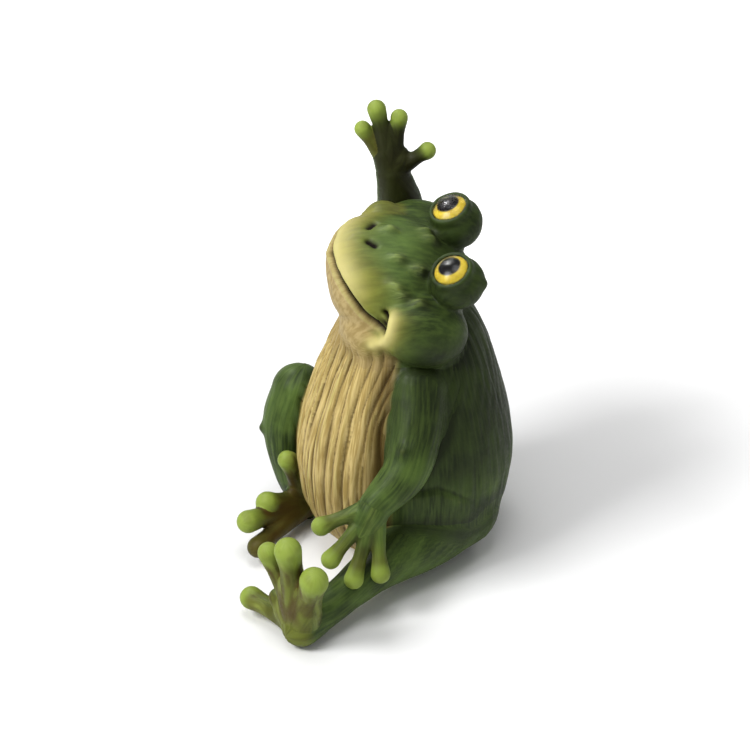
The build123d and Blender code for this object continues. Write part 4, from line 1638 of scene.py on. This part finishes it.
@dataclass
class Limb:
    """Arm or leg: strands, relief and paint that follow them."""

    strands: list
    root: np.ndarray
    palm: np.ndarray
    reach: float = 22.0
    voxel: float = 0.45
    streak: float = 0.14
    warts: tuple = ()
    # Digits in painted shade, and digits spared the palm's painted shade.
    shaded_digits: tuple = ()
    light_digits: tuple = ()
    palm_shade: float = 0.0
    sole: float = 1.0
    sole_from: float = 2.0
    root_shade: float = 0.0
    olive: tuple = (0.75, 0.1, 0.4)
    mottle: float = 1.0
    gap_shade: float = 0.85
    groove_edges: tuple = (2.4, 0.5)
    seed: int = 31
    streak_grain: tuple = (1.9, 0.25)
    coarse_grain: tuple = (4.2, 0.22)
    mottle_grain: tuple = (2.6, 0.3)
    join_edges: tuple = (4.0, 0.6)
    paint_edges: tuple = (1.8, 0.4)
    round_edges: tuple = (0.76, 0.90)
    tip_edges: tuple = (0.60, 0.92)

    def grooves(self, points: np.ndarray) -> np.ndarray:
        """Grooves between digits: places that are near to two digits at once, away from their root.

        Args:
            points: Points of the skin.

        Returns:
            Shares from 0 to 1.
        """
        digits = [strand for strand in self.strands if strand.member is Member.DIGIT]
        second = np.sort([strand_gap([strand], points) for strand in digits], axis=0)[1]
        away = np.linalg.norm(points - digits[0].points[0], axis=1)
        return smooth_step(*self.groove_edges, second) * smooth_step(7.0, 12.0, away)

    def within(self, reading: Reading, member: Member) -> np.ndarray:
        """Whether each point's nearest strand is of one kind."""
        return np.array([strand.member is member for strand in self.strands])[reading.index]

    def noise(self, step: int, cell: float, stretch: float = 1.0) -> Noise:
        """Noise with the limb's seed, moved on by a step, and stretched along the strands."""
        return Noise(self.seed + step, cell, (stretch, 1.0, 1.0))

    def streaks(self, reading: Reading, sheet: np.ndarray) -> np.ndarray:
        """Relief of fine streaks that fade at the round tips, with coarser ones on the trunk.

        Args:
            reading: Where each point lies on the strands.
            sheet: Coordinates along and around the strands.

        Returns:
            Heights in millimetres.
        """
        rounded = self.within(reading, Member.DIGIT) * smooth_step(*self.round_edges, reading.reach)
        fine = self.streak * self.noise(0, *self.streak_grain)(sheet) * (1.0 - rounded)
        coarse = 1.5 * self.streak * self.noise(1, *self.coarse_grain)(sheet)
        return fine + coarse * self.within(reading, Member.TRUNK)

    def paint(self, skin: Skin, reading: Reading, sheet: np.ndarray, joined: np.ndarray) -> dict:
        """Paint masks of the limb itself: pale tips, olive sole, mottled skin, painted shade in the gaps, on
        the palm side, the upper arm and some digits, and painted highlights on the tips.

        Args:
            skin: The skin with its relief.
            reading: Where each point lies on the strands.
            sheet: Coordinates along and around the strands.
            joined: Where the limb is part of the body.

        Returns:
            Values by Mask.
        """
        trunk, digit = (self.within(reading, member) for member in (Member.TRUNK, Member.DIGIT))
        dark, light = (
            np.isin(reading.index, np.array(picked, int)) for picked in (self.shaded_digits, self.light_digits)
        )
        facing, hollow = skin.normals() @ unit(self.palm), skin.hollow(30)
        free = (~trunk) * (1.0 - joined)
        foot = np.maximum(free, trunk * smooth_step(self.sole_from, self.sole_from + 0.13, reading.share))
        # glow: the very ends of the digits, dry brushed as a painted highlight.
        rounded, ends, glow = (
            digit * smooth_step(*edges, reading.reach)
            for edges in (self.round_edges, self.tip_edges, (0.80, 1.0))
        )
        # ring: wash with painted shade where the round tip meets the digit.
        ring = digit * bell(reading.reach - 0.72, 0.06) * (1.0 - joined)
        olive = self.olive[0] * digit * smooth_step(*self.olive[1:], reading.share)
        sole = np.maximum(smooth_step(0.0, 0.7, facing) * foot, olive)
        bright, dull = (self.noise(step, *self.mottle_grain)(sheet) * (1.0 - rounded) for step in (5, 6))
        bright, dull = (self.mottle * free * smooth_step(0.05, 0.5, patch) for patch in (bright, dull))
        spots = rounded * smooth_step(0.0, 0.6, self.noise(7, 3.0)(skin.points))
        # Painted shade on the palm side, the upper arm, between the digits and on the shaded digits.
        inside = smooth_step(-0.2, 0.6, facing) * foot * (1.0 - ends) * (1.0 - 0.7 * light)
        upper = self.root_shade * trunk * smooth_step(0.72, 0.15, reading.share)
        gap = self.grooves(skin.points) * smooth_step(0.9, 0.7, reading.reach) * (1.0 - joined)
        shades = (0.75 * dark, self.palm_shade * inside, upper, self.gap_shade * gap)
        # Recess: wash with painted shade in hollows; ridge: dry brushing with painted highlight on edges,
        # mottles and tips.
        return {
            Mask.TIP: 0.95 * ends * (1.0 - joined) * (1.0 - 0.85 * dark),
            Mask.SOLE: np.where(light, 0.9, self.sole) * sole,
            Mask.RECESS: smooth_step(0.12, 0.8, hollow) + 0.4 * ring + 0.6 * dull + 0.22 * spots,
            Mask.RIDGE: 0.5 * smooth_step(0.3, 1.2, -hollow) + 0.45 * bright + 0.4 * glow * (1.0 - dark),
            Mask.SHADE: np.maximum.reduce(shades),
        }

    def build(self, torso: Torso, over: list) -> tuple[Skin, dict, np.ndarray]:
        """Skin of the strands, blended into the body, its masks and its grain.

        Args:
            torso: The body that it grows from.
            over: Strands that hang over it and shade it.

        Returns:
            The skin, its paint masks and its grain.
        """
        shells = [strand.shell() for strand in self.strands] + [torso.patch(self.root, self.reach)]
        skin = Skin.merged(shells, self.voxel)
        skin.soften(6)
        skin.fill(60)
        skin.soften(4)
        reading = read_strands(self.strands, skin.points)
        clear = torso.clearance(skin.points)
        joined = smooth_step(*self.join_edges, clear)
        painted = smooth_step(*self.paint_edges, clear)
        around = reading.angle * reading.radius
        sheet = np.stack((reading.along, around, reading.index * 40.0), axis=1)
        wart = bumps(skin.points, self.warts, 2.1)
        body_relief, body_belly, body_grain = torso.folds(skin.points)
        own_relief = self.streaks(reading, sheet) + 1.5 * wart
        relief = own_relief * (1.0 - joined) + body_relief * joined
        skin.push(relief)
        skin.points[:, 2] = np.maximum(skin.points[:, 2], PAD_THICKNESS)
        valley = skin.spread(relief, 8) - relief
        # Painted shade where the limb meets the body, under the overhanging jowl and carried on from the body;
        # the wart painted darker.
        crease = 0.55 * smooth_step(5.0, 1.2, clear) * (1.0 - painted)
        hang = 0.75 * smooth_step(11.0, 0.5, strand_gap(over, skin.points))
        rooted = torso.dimmed(skin.points, body_belly) * joined
        masks = self.paint(skin, reading, sheet, joined)
        masks[Mask.BELLY] = body_belly * painted
        # Wash with painted shade in the valleys; dry brushing with painted highlight on the crests.
        masks[Mask.RECESS] += smooth_step(0.05, 0.5, valley)
        masks[Mask.RIDGE] += smooth_step(0.05, 0.35, -valley)
        masks[Mask.SHADE] = np.maximum.reduce((masks[Mask.SHADE], crease, hang, rooted, 0.6 * wart))
        return skin, masks, sheet * (1.0 - joined[:, None]) + body_grain * joined[:, None]


def fan(
    root: np.ndarray, ways: list, length: float, radii: tuple, tips: list, web_reaches: tuple, web_radii: tuple
) -> list:
    """Digits from one root, each a taper to a slim middle and a round tip, with webs half way between them.

    Args:
        root: Where they start.
        ways: Direction of each digit, times its share of the length.
        length: Length that the shares refer to.
        radii: Radius at the root, at a third of the length and behind the tip.
        tips: Radius of each tip.
        web_reaches: Share of the digits' length that each web covers.
        web_radii: Radius at the root, half way and at the edge of a web.

    Returns:
        One strand for each digit, then one for each gap between them.
    """
    strands = []
    for way, tip in zip(ways, tips):
        scale = tip * len(tips) / sum(tips)
        girths = np.array((radii[0], radii[1] * scale, radii[2] * scale, tip))
        strands.append(Strand(root + np.outer(DIGIT_STOPS, way * length), girths, Member.DIGIT))
    for first, second, share in zip(ways[:-1], ways[1:], web_reaches):
        edge = root + share * length * 0.5 * (first + second)
        strands.append(Strand(np.array((root, 0.5 * (root + edge), edge)), np.array(web_radii), Member.WEB))
    return strands


@dataclass
class StraightLeg:
    """The frog's left leg, stretched along the floor with the webbed sole up."""

    thigh: float = 36.0
    reach: float = 84.0
    splay: float = 15.6
    hip_shares: tuple = (0.235, 0.11)
    along_shares: tuple = (0.0, 0.27, 0.55, 0.81, 0.97)
    side_shares: tuple = (0.0, 0.03, 0.035, 0.03, 0.01)
    girth_shares: tuple = (1.0, 0.76, 0.46, 0.36, 0.41)
    lift_shares: tuple = (0.0, 0.06, 0.14, 0.09, 0.0)
    foot: float = 34.0
    toe_radii: tuple = (6.2, 4.8, 3.8)
    toe_tip: float = 4.5
    web_reaches: tuple = (0.56, 0.60, 0.62)
    web_radii: tuple = (5.8, 5.3, 3.5)
    sole_lean: float = 11.0
    across_shares: tuple = (-0.72, -0.29, 0.015, 0.315)
    up_shares: tuple = (0.0, 0.86, 1.04, 0.78)
    tip_shares: tuple = (0.92, 0.84, 1.06, 1.12)

    def limb(self, torso: Torso) -> Limb:
        """Strands of thigh, shin, toes and webs.

        Args:
            torso: The body that it grows from.

        Returns:
            The limb.
        """
        out = np.array((cos(radians(self.splay)), sin(radians(self.splay)), 0.0))
        ahead = np.array((out[1], -out[0], 0.0))
        upright = np.array((0.0, 0.0, 1.0))
        hip = torso.place(*self.hip_shares, 0.0) - HEEL_FLAT * upright
        radii = 0.5 * self.thigh * np.array(self.girth_shares)
        along = self.reach * np.array(self.along_shares)[:, None]
        side = self.reach * np.array(self.side_shares)[:, None]
        rise = (radii + self.thigh * np.array(self.lift_shares))[:, None]
        points = hip + along * ahead + side * out + rise * upright
        lean = radians(self.sole_lean)
        up = cos(lean) * upright + sin(lean) * ahead
        toes = [across * out + high * up for across, high in zip(self.across_shares, self.up_shares)]
        tips = [self.toe_tip * share for share in self.tip_shares]
        strands = [Strand(points, radii)]
        strands += fan(points[-1], toes, self.foot, self.toe_radii, tips, self.web_reaches, self.web_radii)
        palm = ahead * cos(lean) - upright * sin(lean)
        return Limb(strands, points[0], palm, seed=41, reach=24.0, sole_from=0.84)


@dataclass
class BentLeg:
    """The frog's right leg, knee up, heel on the floor."""

    thigh: float = 30.0
    thigh_length: float = 45.0
    shin_length: float = 48.0
    hip_shares: tuple = (-0.23, 0.05, 0.185)
    knee_shares: tuple = (-0.38, -0.62, 0.69)
    root_share: float = 0.385
    thigh_girths: tuple = (0.74, 0.68)
    thigh_stops: tuple = (0.0, 0.82, 1.0)
    shin_x: tuple = (0.0, 0.02, 0.10, 0.19)
    shin_y: tuple = (0.0, -0.10, -0.11, -0.05)
    shin_fall: tuple = (0.0, 0.30, 0.70, 1.0)
    shin_girths: tuple = (0.68, 0.67, 0.50, 0.40)
    foot: float = 34.0
    toe_radii: tuple = (5.0, 4.1, 3.4)
    toe_tip: float = 4.5
    web_reaches: tuple = (0.5, 0.55, 0.6)
    web_radii: tuple = (4.6, 3.6, 2.4)
    toe_x: tuple = (0.15, 0.18, 0.32, 0.50)
    toe_y: tuple = (-0.34, -0.62, -0.94, -0.93)
    toe_z: tuple = (0.75, 0.31, 0.26, 0.03)
    tip_shares: tuple = (0.78, 0.95, 0.95, 0.89)
    warts: tuple = ((-38.5, -37.7, 36.4),)
    palm_way: tuple = (0.9, -0.3, 0.3)

    def limb(self, torso: Torso) -> Limb:
        """Strands of thigh, shin, toes and webs.

        Args:
            torso: The body that it grows from.

        Returns:
            The limb.
        """
        hip = torso.place(*self.hip_shares)
        reach = self.thigh_length * np.array(self.knee_shares)
        knee = hip + reach
        girths = (self.root_share * torso.width, *(self.thigh * share for share in self.thigh_girths))
        thigh = Strand(hip + np.outer(self.thigh_stops, reach), 0.5 * np.array(girths))
        radii = 0.5 * self.thigh * np.array(self.shin_girths)
        heel = PAD_THICKNESS + radii[-1] - HEEL_FLAT
        fall = np.array(self.shin_fall) * (heel - knee[2])
        drift = self.shin_length * np.stack((self.shin_x, self.shin_y), axis=1)
        points = knee + np.concatenate((drift, fall[:, None]), axis=1)
        toes = [np.array(row) for row in zip(self.toe_x, self.toe_y, self.toe_z)]
        tips = [self.toe_tip * share for share in self.tip_shares]
        strands = [thigh, Strand(points, radii)]
        strands += fan(points[-1], toes, self.foot, self.toe_radii, tips, self.web_reaches, self.web_radii)
        # Painted shade on the sole side and on the listed toes and webs.
        return Limb(
            strands, hip, np.array(self.palm_way), seed=51, reach=20.0, warts=self.warts,
            shaded_digits=(5, 7, 8), palm_shade=0.75, groove_edges=(3.6, 1.2),
        )


@dataclass
class Arm:
    """Arm with spread fingers; as it stands the frog's right one, held up with the palm open."""

    thickness: float = 21.0
    reach: float = 60.0
    shoulder_shares: tuple = (-0.308, 0.077, 0.755)
    x_shares: tuple = (0.0, -0.15, -0.167, -0.15, -0.15)
    y_shares: tuple = (0.0, 0.17, 0.233, 0.20, 0.167)
    z_shares: tuple = (0.0, 0.30, 0.633, 0.80, 0.92)
    girth_shares: tuple = (0.95, 0.92, 0.84, 0.68, 0.57)
    hand: float = 25.0
    hand_lift: float = 3.78
    finger_radii: tuple = (4.5, 3.4, 2.6)
    fingertips: tuple = (3.0, 3.4, 3.15, 3.2)
    finger_x: tuple = (-0.20, -0.08, 0.08, 0.36)
    finger_y: tuple = (-0.38, -0.22, 0.06, 0.36)
    finger_z: tuple = (0.55, 0.86, 0.72, 0.24)
    web_reaches: tuple = (0.56, 0.76, 0.5)
    web_radii: tuple = (5.2, 4.2, 2.3)
    palm_radii: tuple = (5.5, 5.0, 4.3)
    palm_stops: tuple = (0.0, 0.17, 0.34)
    palm_shares: tuple = ((0.6, 0.4, 0.0, 0.0), (0.0, 0.0, 0.5, 0.5))
    palm_way: tuple = (0.8, -0.5, 0.3)
    voxel: float = 0.4
    mottle: float = 0.4

    def limb(self, torso: Torso) -> Limb:
        """Strands of arm, fingers, webs and palm; the fingers fan out from the wrist.

        Args:
            torso: The body that it grows from.

        Returns:
            The limb.
        """
        shoulder = torso.place(*self.shoulder_shares)
        points = shoulder + self.reach * np.stack((self.x_shares, self.y_shares, self.z_shares), axis=1)
        radii = 0.5 * self.thickness * np.array(self.girth_shares)
        lift = np.array((0.0, 0.0, self.hand_lift / self.hand))
        ways = [np.array(row) + lift for row in zip(self.finger_x, self.finger_y, self.finger_z)]
        tips = list(self.fingertips)
        strands = [Strand(points, radii)]
        strands += fan(points[-1], ways, self.hand, self.finger_radii, tips, self.web_reaches, self.web_radii)
        for shares in self.palm_shares:
            palm = points[-1] + np.outer(self.palm_stops, self.hand * np.array(shares) @ np.array(ways))
            strands.append(Strand(palm, np.array(self.palm_radii), Member.WEB))
        way = np.array(self.palm_way)
        return Limb(strands, shoulder, way, voxel=self.voxel, mottle=self.mottle, **self.looks())

    def looks(self) -> dict:
        """Fields of the limb that are this arm's own."""
        paint = {"palm_shade": 0.88, "sole": 0.15, "sole_from": 0.5, "gap_shade": 0.5, "light_digits": (1,)}
        return paint | {"seed": 61, "reach": 17.0}


@dataclass
class RestingArm(Arm):
    """The frog's left arm, its hand laid on the thigh."""

    reach: float = 43.0
    shoulder_shares: tuple = (0.285, -0.119, 0.755)
    x_shares: tuple = (0.0, 0.184, 0.291, 0.281)
    y_shares: tuple = (0.0, -0.158, -0.321, -0.586)
    z_shares: tuple = (0.0, -0.33, -0.547, -0.77)
    girth_shares: tuple = (1.0, 0.92, 0.77, 0.57)
    hand_lift: float = 0.0
    finger_radii: tuple = (4.2, 3.1, 2.5)
    fingertips: tuple = (3.5, 3.5, 3.5, 3.5)
    finger_x: tuple = (-0.296, -0.016, 0.264, 0.424)
    finger_y: tuple = (-0.724, -0.744, -0.544, -0.204)
    finger_z: tuple = (-0.26, -0.65, -0.90, -0.84)
    web_reaches: tuple = (0.40, 0.45, 0.45)
    web_radii: tuple = (4.0, 2.8, 1.7)
    palm_radii: tuple = (5.9, 5.7, 3.9)
    palm_stops: tuple = (0.0, 0.17, 0.36)
    palm_shares: tuple = ((0.0, 0.5, 0.5, 0.0),)
    palm_way: tuple = (-0.6, 0.3, -0.7)
    warts: tuple = ((36.9, -24.9, 60.9),)

    def looks(self) -> dict:
        """Fields of the limb that are this arm's own."""
        paint = {"root_shade": 0.55, "olive": (0.55, 0.3, 0.75), "gap_shade": 0.6, "warts": self.warts}
        return paint | {"seed": 71, "reach": 19.0}


@dataclass
class Eye:
    """Ring, pupil and clear dome on one gaze axis; heights above the turret's middle."""

    ring_radius: float = 6.75
    pupil_radius: float = 3.65
    pupil_shift: float = 1.1
    pupil_way: tuple = (-1.0, -0.15, -0.15)
    low: float = 5.35
    dome: float = 8.95
    lens_inside: float = 9.1
    lens_outside: float = 9.9
    pupil_gap: float = 0.05
    ring_columns: int = 128
    pupil_columns: int = 96

    def arc(self, radius: float, start: float, end: float, count: int) -> np.ndarray:
        """Radius and height along a ball about the turret's middle, from one radius to another."""
        wide = np.linspace(start, end, count)
        return np.stack((wide, np.sqrt(radius * radius - wide * wide)), axis=1)

    def circles(self, shift: object, radius: np.ndarray, columns: int) -> np.ndarray:
        """Circles on the dome about places beside the axis, the first two laid flat on the seat.

        Args:
            shift: Distance of each circle's middle from the axis.
            radius: Radius of each circle.
            columns: Points on a circle.

        Returns:
            Points by circle, round the circle and axis.
        """
        turn = np.linspace(0.0, 2 * pi, columns, endpoint=False)[None, :]
        x, y = shift + radius * np.cos(turn), radius * np.sin(turn)
        z = np.sqrt(self.dome**2 - x * x - y * y)
        z[:2] = self.low
        return np.stack((x, y, z), axis=-1)

    def iris(self) -> tuple[Shell, np.ndarray]:
        """Ring whose top lies on the dome: circles that shrink and slide from its rim to the pupil.

        Returns:
            The closed ring, and the share of its width at each point.
        """
        share = np.concatenate(((0.0, 1.0), np.linspace(1.0, 0.0, 16)))[:, None]
        radius = self.pupil_radius + (self.ring_radius - self.pupil_radius) * share
        rings = self.circles(self.pupil_shift * (1.0 - share), radius, self.ring_columns)
        faces = ring_faces(len(share), self.ring_columns, wrap_rows=True).tolist()
        return Shell(rings.reshape(-1, 3), faces), np.repeat(share[:, 0], self.ring_columns)

    def pupil(self) -> Shell:
        """Domed black disc: circles about the pupil's middle, out along its back and in over the dome.

        Returns:
            The closed disc.
        """
        step = np.concatenate(((0.5, 1.0), np.linspace(1.0, 0.08, 14)))[:, None]
        rings = self.circles(self.pupil_shift, (self.pupil_radius - self.pupil_gap) * step, self.pupil_columns)
        back = np.array((self.pupil_shift, 0.0, self.low))
        front = np.array((self.pupil_shift, 0.0, np.sqrt(self.dome**2 - self.pupil_shift**2)))
        return closed_rings(rings, back, front)

    def lens(self) -> Shell:
        """Thin clear dome between two arcs.

        Returns:
            The closed dome.
        """
        inside = self.arc(self.lens_inside, 0.0, self.ring_radius, 16)
        outside = self.arc(self.lens_outside, self.ring_radius, 0.0, 24)
        return revolve(np.concatenate((inside, outside)))


# Studio


@dataclass(frozen=True)
class Lamp:
    """Soft square lamp, placed by azimuth and elevation about the figure; sizes in metres, power in watts."""

    name: str
    azimuth: float
    elevation: float
    distance: float
    size: float
    power: float
    diffuse: bool = True

    def build(self, target: Vector) -> None:
        """Adds the lamp.

        Args:
            target: Where it is aimed.
        """
        light = bpy.data.lights.new(self.name, "AREA")
        light.energy = self.power
        light.size = self.size
        lamp = bpy.data.objects.new(self.name, light)
        lamp.location = target + self.distance * direction(self.azimuth, self.elevation)
        lamp.visible_diffuse = self.diffuse
        lamp.rotation_euler = (target - lamp.location).to_track_quat("-Z", "Y").to_euler()
        bpy.context.scene.collection.objects.link(lamp)


def direction(azimuth: float, elevation: float) -> Vector:
    """Direction towards a viewer at an azimuth and elevation; azimuth 0 stands on -Y."""
    a, e = radians(azimuth), radians(elevation)
    return Vector((sin(a) * cos(e), -cos(a) * cos(e), sin(e)))


@dataclass
class Studio:
    """Pale floor, soft lamps and the camera at the photographed angle."""

    azimuth: float = 57.0
    elevation: float = 30.0
    distance: float = 0.8
    target: tuple = (-0.0028, -0.011, 0.068)
    focal_pixels: float = 2224.0
    image_pixels: float = 750.0
    sensor: float = 36.0
    floor_size: float = 8.0
    floor_tone: tuple = (0.93, 0.93, 0.93, 1.0)
    floor_glow: float = 0.5
    glow_edges: tuple = (0.06, 0.30)
    world_light: float = 0.3
    lamps: tuple = (
        Lamp("key_lamp", -4.0, 44.0, 1.2, 0.4, 11.5),
        Lamp("top_lamp", 40.0, 80.0, 1.2, 0.6, 5.5),
        Lamp("fill_lamp", 125.0, 20.0, 1.5, 0.8, 0.5),
        Lamp("rim_lamp", 200.0, 35.0, 1.4, 0.5, 1.6),
        Lamp("glint_lamp", -85.0, 50.0, 1.2, 0.3, 8.0, diffuse=False),
    )

    def build(self) -> None:
        """Adds the camera, lamps, world and floor."""
        scene = bpy.context.scene
        scene.view_settings.view_transform = "Standard"
        target = Vector(self.target)
        camera = bpy.data.cameras.new("camera")
        camera.sensor_width = self.sensor
        camera.lens = self.focal_pixels * self.sensor / self.image_pixels
        camera.clip_end = 100.0
        stand = bpy.data.objects.new("camera", camera)
        stand.location = target + self.distance * direction(self.azimuth, self.elevation)
        stand.rotation_euler = (target - stand.location).to_track_quat("-Z", "Y").to_euler()
        scene.collection.objects.link(stand)
        scene.camera = stand
        for lamp in self.lamps:
            lamp.build(target)
        self.world()
        self.floor()

    def world(self) -> None:
        """Even white surroundings that look white and light the figure gently."""
        world = bpy.data.worlds.new("studio")
        world.use_nodes = True
        bpy.context.scene.world = world
        wiring = Wiring(world.node_tree)
        back = world.node_tree.nodes["Background"]
        back.inputs["Color"].default_value = WHITE
        path = wiring.add("ShaderNodeLightPath")
        camera = path.outputs["Is Camera Ray"]
        strength = wiring.add("ShaderNodeMapRange", Value=camera, To_Min=self.world_light, To_Max=1.0)
        wiring.feed(back.inputs["Strength"], strength.outputs["Result"])

    def floor(self) -> None:
        """Pale floor that glows, for the camera only, farther from the figure."""
        corners = np.array(((-1.0, -1.0, 0.0), (1.0, -1.0, 0.0), (1.0, 1.0, 0.0), (-1.0, 1.0, 0.0)))
        floor = linked("floor", mesh_of("floor", 0.5 * self.floor_size / MM * corners, [[0, 1, 2, 3]]))
        sockets = {"Roughness": 0.9, "Emission_Color": WHITE}
        material, wiring, shader = new_material("pale_floor", self.floor_tone, **sockets)
        place = wiring.add("ShaderNodeTexCoord")
        length = wiring.add("ShaderNodeVectorMath", {"operation": "LENGTH"})
        wiring.feed(length.inputs[0], place.outputs["Object"])
        path = wiring.add("ShaderNodeLightPath")
        far = wiring.ramp(length.outputs["Value"], *self.glow_edges)
        glow = wiring.math("MULTIPLY", far, path.outputs["Is Camera Ray"])
        wiring.feed(shader.inputs["Emission Strength"], wiring.math("MULTIPLY", glow, self.floor_glow))
        floor.data.materials.append(material)


class Frog:
    """The whole figure: builds each piece, dresses it and sets it on its body."""

    def __init__(self, frame: dict) -> None:
        """Keeps the frame and builds the finishes.
        """
        self.frame = frame
        self.effects = Effects()
        self.body_paint = BODY_PAINT.material(self.effects)
        self.head_paint = HEAD_PAINT.material(self.effects)
        self.torso = Torso()
        self.head = Head()

    def keep(self, piece: bpy.types.Object, node: str, slot: str, material: bpy.types.Material) -> None:
        """Gives a piece its material and its body, and hides the node of the frame that it replaces.

        Args:
            piece: The piece.
            node: Node of the frame that it replaces.
            slot: Not used.
            material: Its material.
        """
        piece.data.materials.append(material)
        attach(piece, "root")
        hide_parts(node)
        LOG.info("%s: %d faces", piece.name, len(piece.data.polygons))

    def castings(self) -> None:
        """Torso, head, legs and arms."""
        makers = {
            "straight_leg": StraightLeg(),
            "bent_leg": BentLeg(),
            "raised_arm": Arm(),
            "resting_arm": RestingArm(),
        }
        limbs = {name: maker.limb(self.torso) for name, maker in makers.items()}
        strands = [strand for limb in limbs.values() for strand in limb.strands]
        near = [strand for strand in strands if strand.member is Member.TRUNK]
        over = [self.head.jowl(self.torso)]
        skin, masks, grain = self.torso.build(near + over)
        self.keep(skin.piece("torso", masks, grain), "torso_casting", "body_resin", self.body_paint)
        skin, masks, grain = self.head.build(self.torso)
        self.keep(skin.piece("head", masks, grain), "head_casting", "head_resin", self.head_paint)
        for name, limb in limbs.items():
            skin, masks, grain = limb.build(self.torso, over)
            self.keep(skin.piece(name, masks, grain), name + "_casting", "body_resin", self.body_paint)

    def eyes(self) -> None:
        """Rings, pupils and clear domes on both turrets."""
        eye = Eye()
        iris, pupil = EYE_PAINT.iris(self.effects), EYE_PAINT.pupil(self.effects)
        lens = EYE_PAINT.lens(self.effects)
        turned, shift = self.head.turned(), self.head.shift(self.torso)
        for side in Side:
            name = side.name.lower()
            gaze = turned @ self.head.gaze(side)
            aside = turned @ np.array(eye.pupil_way)
            across = unit(aside - (aside @ gaze) * gaze)
            turn = np.stack((across, np.cross(gaze, across), gaze), axis=1)
            middle = turned @ self.head.spot(self.head.turret_shares, side) + shift
            ring, share = eye.iris()
            ring_piece = ring.moved(turn, middle).piece(name + "_ring")
            layer = ring_piece.data.attributes.new("ring", "FLOAT", "POINT")
            layer.data.foreach_set("value", share.astype(np.float32))
            self.keep(ring_piece, name + "_iris", "eye_yellow", iris)
            disc_piece = eye.pupil().moved(turn, middle).piece(name + "_disc")
            self.keep(disc_piece, name + "_pupil", "eye_black", pupil)
            dome_piece = eye.lens().moved(turn, middle).piece(name + "_dome")
            self.keep(dome_piece, name + "_eye_lens", "eye_clear", lens)

    def pads(self) -> None:
        """Felt pads with soft edges, each where its node is."""
        felt = FELT.material(self.effects)
        for node in ("seat_pad", "straight_heel_pad", "bent_heel_pad"):
            low, high = (np.array(corner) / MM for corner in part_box(node))
            radius, thick = 0.5 * (high[0] - low[0]), high[2] - low[2]
            bend = np.linspace(0.0, pi / 2, 6)
            edge = PAD_EDGE * thick
            lower = np.stack((radius - edge + edge * np.sin(bend), edge - edge * np.cos(bend)), axis=1)
            upper = np.stack((lower[::-1, 0], thick - lower[::-1, 1]), axis=1)
            rows = np.linspace(0.0, radius - edge, 8)[:-1]
            bottom = np.stack((rows, 0.0 * rows), axis=1)
            top = np.stack((rows[::-1], thick + 0.0 * rows), axis=1)
            shell = revolve(np.concatenate((bottom, lower, upper, top)))
            shift = np.array((0.5 * (low[0] + high[0]), 0.5 * (low[1] + high[1]), low[2]))
            piece = shell.moved(np.eye(3), shift).piece("felt_" + node)
            self.keep(piece, node, "felt", felt)

    def hidden(self) -> None:
        """Finishes of the pins, the wire and the stopper, which keep their nodes' shapes."""
        steel, rubber = STEEL.material(self.effects), RUBBER.material(self.effects)
        pins = ("neck_dowel", "straight_leg_dowel", "bent_leg_dowel", "resting_arm_dowel", "raised_arm_wire")
        for node in pins + ("base_plug",):
            mesh = self.frame["nodes"][node].data
            mesh.materials.clear()
            mesh.materials.append(rubber if node == "base_plug" else steel)
            LOG.info("%s: finished", node)


def main() -> None:
    logging.basicConfig(level=logging.INFO, format="%(name)s %(message)s")
    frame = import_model()
    frog = Frog(frame)
    frog.castings()
    frog.eyes()
    frog.pads()
    frog.hidden()
    Studio().build()


if __name__ == "__main__":
    main()
